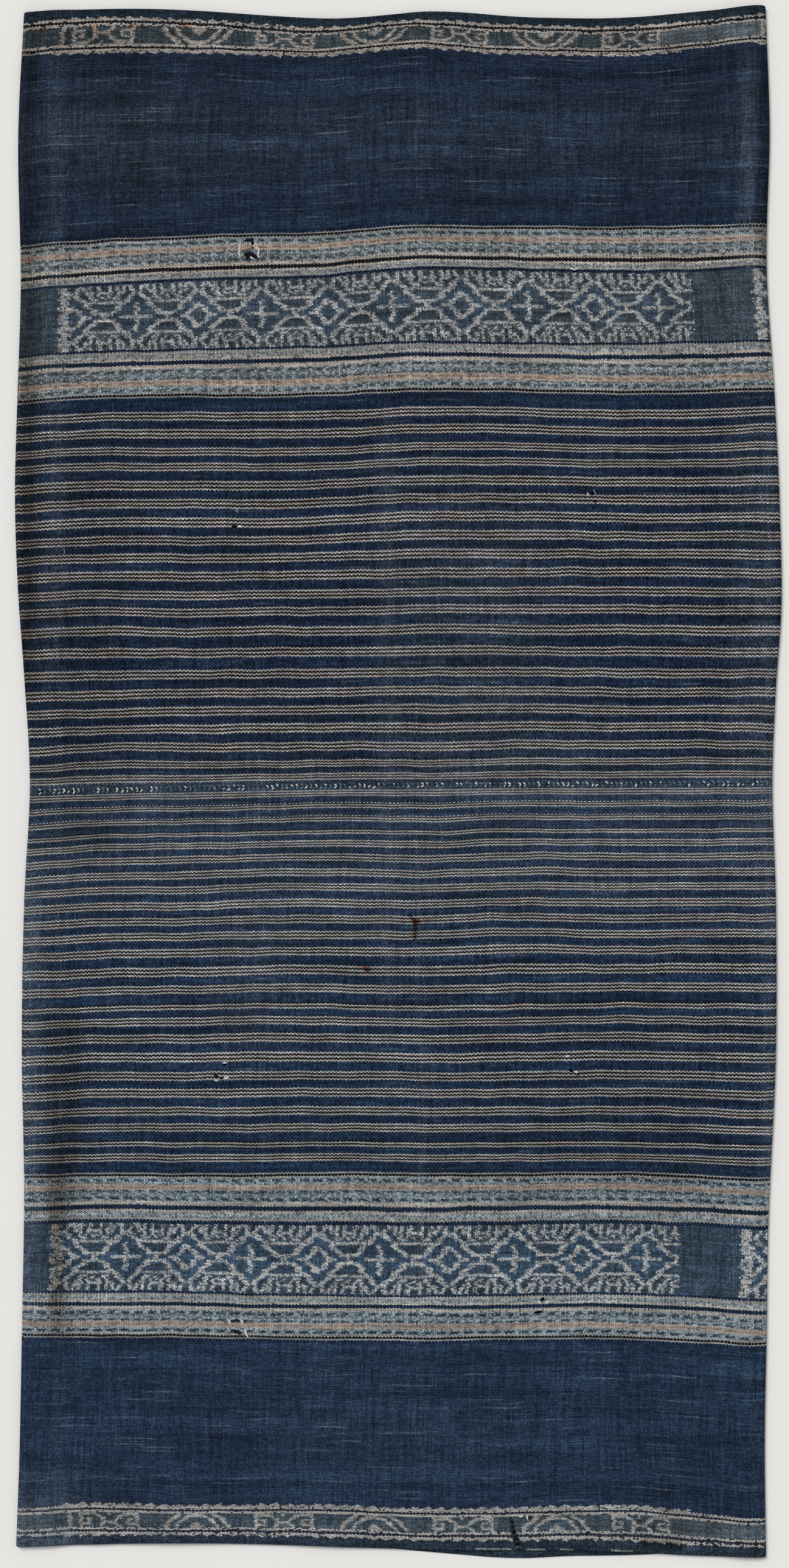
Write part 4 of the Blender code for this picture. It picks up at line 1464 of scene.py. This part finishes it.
def stitch_tree():
    """Geometry nodes that sew a herringbone of two slanting rows along a path. Some stitches are in clean thread."""
    tree = bpy.data.node_groups.new("Herringbone stitches", "GeometryNodeTree")
    tree.interface.new_socket(name="Path", in_out="INPUT", socket_type="NodeSocketGeometry")
    for label, kind in SEAM_INPUTS:
        tree.interface.new_socket(name=label, in_out="INPUT", socket_type="NodeSocket" + kind)
    tree.interface.new_socket(name="Stitches", in_out="OUTPUT", socket_type="NodeSocketGeometry")
    nodes = Nodes(tree)
    given = nodes.add("NodeGroupInput").outputs
    result = nodes.add("NodeGroupOutput").inputs

    ball = nodes.add("GeometryNodeMeshIcoSphere")
    ball.inputs["Subdivisions"].default_value = 2
    nodes.feed(ball.inputs["Radius"], 0.5)
    shape = nodes.add("GeometryNodeTransform")
    nodes.feed(shape.inputs["Geometry"], ball.outputs["Mesh"])
    size = nodes.add("ShaderNodeCombineXYZ")
    for socket, value in zip(size.inputs, (given["Length"], given["Thread"], given["Thread"])):
        nodes.feed(socket, value)
    nodes.feed(shape.inputs["Scale"], size.outputs[0])
    smooth = nodes.add("GeometryNodeSetShadeSmooth")
    nodes.feed(smooth.inputs["Geometry"], shape.outputs["Geometry"])

    curve = nodes.add("GeometryNodeMeshToCurve")
    nodes.feed(curve.inputs["Mesh"], given["Path"])
    spaced = nodes.add("GeometryNodeResampleCurve")
    spaced.mode = "LENGTH"
    nodes.feed(spaced.inputs["Curve"], curve.outputs["Curve"])
    nodes.feed(spaced.inputs["Length"], given["Pitch"])
    joined = nodes.add("GeometryNodeJoinGeometry")
    for row, side in enumerate((1.0, -1.0)):
        moved = nodes.add("GeometryNodeSetPosition")
        nodes.feed(moved.inputs["Geometry"], spaced.outputs["Curve"])
        stray = nodes.random_vector(0.0005, given["Seed"], row)
        offset = nodes.place(0.0, nodes.math("MULTIPLY", given["Row spacing"], side / 2))
        nodes.feed(moved.inputs["Offset"], nodes.vector("ADD", offset, stray))
        slant = nodes.math("ADD", nodes.math("MULTIPLY", given["Slant"], -side), nodes.split(
            nodes.random_vector(0.42, given["Seed"], row + 2))[0])
        turn = nodes.add("ShaderNodeCombineXYZ")
        nodes.feed(turn.inputs[2], slant)
        full = nodes.add("FunctionNodeRandomValue", data_type="FLOAT")
        for socket, value in zip(full.inputs[2:4], (0.7, 1.15)):
            socket.default_value = value
        nodes.feed(full.inputs["Seed"], nodes.math("ADD", given["Seed"], row + 9.0))
        chance = nodes.add("FunctionNodeRandomValue", data_type="FLOAT")
        nodes.feed(chance.inputs["Seed"], nodes.math("ADD", given["Seed"], row + 5.0))
        clean = nodes.math("LESS_THAN", chance.outputs[1], nodes.math("MULTIPLY", given["Clean share"], 1.25 + side / 4))
        deep = nodes.math("GREATER_THAN", chance.outputs[1], 0.68)
        dyed = nodes.math("SUBTRACT", nodes.math("SUBTRACT", 1.0, clean), deep)
        for chosen, thread in ((clean, "Clean thread"), (dyed, "Dyed thread"), (deep, "Deep thread")):
            sewn = nodes.add("GeometryNodeInstanceOnPoints")
            nodes.feed(sewn.inputs["Points"], moved.outputs["Geometry"])
            nodes.feed(sewn.inputs["Selection"], chosen)
            nodes.feed(sewn.inputs["Instance"], smooth.outputs["Geometry"])
            nodes.feed(sewn.inputs["Rotation"], turn.outputs[0])
            nodes.feed(sewn.inputs["Scale"], full.outputs[1])
            real = nodes.add("GeometryNodeRealizeInstances")
            nodes.feed(real.inputs["Geometry"], sewn.outputs["Instances"])
            dressed = nodes.add("GeometryNodeSetMaterial")
            nodes.feed(dressed.inputs["Geometry"], real.outputs["Geometry"])
            nodes.feed(dressed.inputs["Material"], given[thread])
            tree.links.new(dressed.outputs["Geometry"], joined.inputs["Geometry"])
    nodes.feed(result["Stitches"], joined.outputs["Geometry"])
    return tree


SEAM_STEP = 4 * MM
SEAM_ENDS = (-316 * MM, 321 * MM)
BACK_STITCH = 0.52 * MM  # height of the stitches' middles on the underside, pressed into the cloth


def sew_seam(name, front):
    """Sews one side of the seam."""
    settings = bpy.context.scene.ikat_seam
    count = int((SEAM_ENDS[1] - SEAM_ENDS[0]) / SEAM_STEP)
    xs = np.linspace(*SEAM_ENDS, count)
    ys = smooth_values(SEAM, xs)
    heights = front_height(xs, ys) + CLOTH / 2 if front else np.full(count, BACK_STITCH)
    path = [(float(x), float(y), float(z)) for x, y, z in zip(xs, ys, heights)]
    mesh = bpy.data.meshes.new(name)
    mesh.from_pydata(path, [(k, k + 1) for k in range(count - 1)], [])
    seam = bpy.data.objects.new(name, mesh)
    bpy.context.scene.collection.objects.link(seam)
    tree = bpy.data.node_groups.get("Herringbone stitches") or stitch_tree()
    sewing = seam.modifiers.new("stitches", "NODES")
    sewing.node_group = tree
    values = {
        "Pitch": settings.stitch_pitch,
        "Row spacing": settings.row_spacing,
        "Length": settings.stitch_length,
        "Thread": settings.thread,
        "Slant": settings.slant,
        "Clean share": settings.clean_share,
        "Seed": settings.seed + (0 if front else 40),
        "Clean thread": seam_thread("cream"),
        "Dyed thread": seam_thread("dyed"),
        "Deep thread": seam_thread("dyed deep"),
    }
    for item in tree.interface.items_tree:
        if item.name in values:
            sewing[item.identifier] = values[item.name]
    settle(seam)
    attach(seam, "root")
    return seam


def seam_thread(kind):
    """The seam's thread material, made once for each kind."""
    name = "seam_" + kind.replace(" ", "_")
    return bpy.data.materials.get(name + "_thread") or thread_material(name, THREADS[kind])


class IkatClothSettings(bpy.types.PropertyGroup):
    """Sizes and colours of the cloth."""

    thickness: bpy.props.FloatProperty(
        name="Thickness", description="Thickness of one layer of cloth", default=CLOTH, min=0.0003, max=0.003,
        subtype="DISTANCE", unit="LENGTH",
    )
    float_height: bpy.props.FloatProperty(
        name="Float height", description="How far an end stands up over a weft", default=0.16 * MM,
        subtype="DISTANCE", unit="LENGTH",
    )
    float_shape: bpy.props.FloatProperty(
        name="Float shape", description="Bluntness of the floats' ends, 1 for lozenges", default=1.05, min=0.5, max=3,
    )
    faded: bpy.props.FloatVectorProperty(
        name="Faded indigo", description="Colour that worn places pale to", size=3, default=(0.085, 0.115, 0.15),
        subtype="COLOR",
    )


class SeamSettings(bpy.types.PropertyGroup):
    """Sizes of the hand-sewn seam."""

    stitch_pitch: bpy.props.FloatProperty(
        name="Stitch pitch", description="From one stitch to the next along the seam", default=4.2 * MM,
        subtype="DISTANCE", unit="LENGTH",
    )
    stitch_length: bpy.props.FloatProperty(
        name="Stitch length", description="Length of a stitch that shows", default=3.0 * MM,
        subtype="DISTANCE", unit="LENGTH",
    )
    row_spacing: bpy.props.FloatProperty(
        name="Row spacing", description="From the upper row of stitches to the lower row", default=2.3 * MM,
        subtype="DISTANCE", unit="LENGTH",
    )
    thread: bpy.props.FloatProperty(
        name="Thread", description="Diameter of the sewing thread", default=1.35 * MM,
        subtype="DISTANCE", unit="LENGTH",
    )
    slant: bpy.props.FloatProperty(
        name="Slant", description="Slant of the stitches to the seam", default=math.radians(50), subtype="ANGLE",
    )
    clean_share: bpy.props.FloatProperty(
        name="Clean share", description="Share of the stitches whose thread is still pale", default=0.22,
    )
    seed: bpy.props.IntProperty(name="Seed", description="Seed of the stitches' unevenness", default=7)


class StageSettings(bpy.types.PropertyGroup):
    """Floor and light."""

    floor: bpy.props.FloatVectorProperty(
        name="Floor", description="Colour of the floor", size=3, default=(0.80, 0.79, 0.77), subtype="COLOR",
    )
    key: bpy.props.FloatProperty(name="Key light", description="Strength of the soft key light", default=1.9)
    fill: bpy.props.FloatProperty(name="Fill light", description="Strength of the light from all sides", default=0.5)


class CLOTH_OT_weave(bpy.types.Operator):
    """Weave both panels"""

    bl_idname = "ikat_cloth.weave"
    bl_label = "Weave the panels"

    def execute(self, context):
        for panel in make_panels():
            weave_panel(panel)
        return {"FINISHED"}


# The camera looks straight down from where the whole cloth fills the photograph's height.
CAMERA_PLACE = (-3.2 * MM, -1.6 * MM, 3.227)
LENS = 85.0
FLOOR_DEPTH = 0.2 * MM
FLOOR_SIZE = 60.0


class CLOTH_OT_sew(bpy.types.Operator):
    """Sew the seam on both sides of the cloth"""

    bl_idname = "ikat_cloth.sew"
    bl_label = "Sew the seam"

    def execute(self, context):
        sew_seam("front_seam_stitches", True)
        sew_seam("back_seam_stitches", False)
        return {"FINISHED"}


class CLOTH_OT_fray(bpy.types.Operator):
    """Lay the loose and darning threads"""

    bl_idname = "ikat_cloth.fray"
    bl_label = "Fray the holes"

    def execute(self, context):
        lay_strands()
        return {"FINISHED"}


class CLOTH_OT_stage(bpy.types.Operator):
    """Set the floor, the light and the camera"""

    bl_idname = "ikat_cloth.stage"
    bl_label = "Set the stage"

    def execute(self, context):
        settings = context.scene.ikat_stage
        half = FLOOR_SIZE / 2
        mesh = bpy.data.meshes.new("floor")
        mesh.from_pydata([(-half, -half, 0), (half, -half, 0), (half, half, 0), (-half, half, 0)], [], [(0, 1, 2, 3)])
        for vertex in mesh.vertices:
            vertex.co.z = -FLOOR_DEPTH
        floor = bpy.data.objects.new("floor", mesh)
        context.scene.collection.objects.link(floor)
        paint = bpy.data.materials.new("floor_paint")
        paint.use_nodes = True
        shader = paint.node_tree.nodes["Principled BSDF"]
        shader.inputs["Base Color"].default_value = (*settings.floor, 1.0)
        shader.inputs["Roughness"].default_value = 0.9
        mesh.materials.append(paint)

        world = bpy.data.worlds.new("studio")
        world.use_nodes = True
        background = world.node_tree.nodes["Background"]
        background.inputs["Color"].default_value = (1.0, 1.0, 1.0, 1.0)
        background.inputs["Strength"].default_value = settings.fill
        context.scene.world = world

        light = bpy.data.lights.new("key", "SUN")
        light.energy = settings.key
        light.angle = math.radians(25)
        key = bpy.data.objects.new("key", light)
        key.location = (-1.0, 1.2, 2.2)
        key.rotation_euler = Vector(key.location).to_track_quat("Z", "Y").to_euler()
        context.scene.collection.objects.link(key)

        camera = bpy.data.objects.new("camera", bpy.data.cameras.new("camera"))
        camera.data.lens = LENS
        camera.location = CAMERA_PLACE
        context.scene.collection.objects.link(camera)
        context.scene.camera = camera
        context.scene.view_settings.view_transform = "Standard"
        return {"FINISHED"}


class CLOTH_PT_parts(bpy.types.Panel):
    """The cloth's parts"""

    bl_label = "Ikat cloth"
    bl_space_type = "VIEW_3D"
    bl_region_type = "UI"
    bl_category = "Cloth"

    def draw(self, context):
        for operator in OPERATORS:
            self.layout.operator(operator.bl_idname)


OPERATORS = (CLOTH_OT_stage, CLOTH_OT_weave, CLOTH_OT_sew, CLOTH_OT_fray)
CLASSES = (IkatClothSettings, SeamSettings, StageSettings, *OPERATORS, CLOTH_PT_parts)
SETTINGS = (("ikat_cloth", IkatClothSettings), ("ikat_seam", SeamSettings), ("ikat_stage", StageSettings))


def register():
    for kind in CLASSES:
        bpy.utils.register_class(kind)
    for name, kind in SETTINGS:
        setattr(bpy.types.Scene, name, bpy.props.PointerProperty(type=kind))


def unregister():
    for name, _ in SETTINGS:
        delattr(bpy.types.Scene, name)
    for kind in reversed(CLASSES):
        bpy.utils.unregister_class(kind)


def main():
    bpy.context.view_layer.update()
    register()
    bpy.ops.ikat_cloth.stage()
    bpy.ops.ikat_cloth.weave()
    bpy.ops.ikat_cloth.sew()
    bpy.ops.ikat_cloth.fray()


if __name__ == "__main__":
    main()
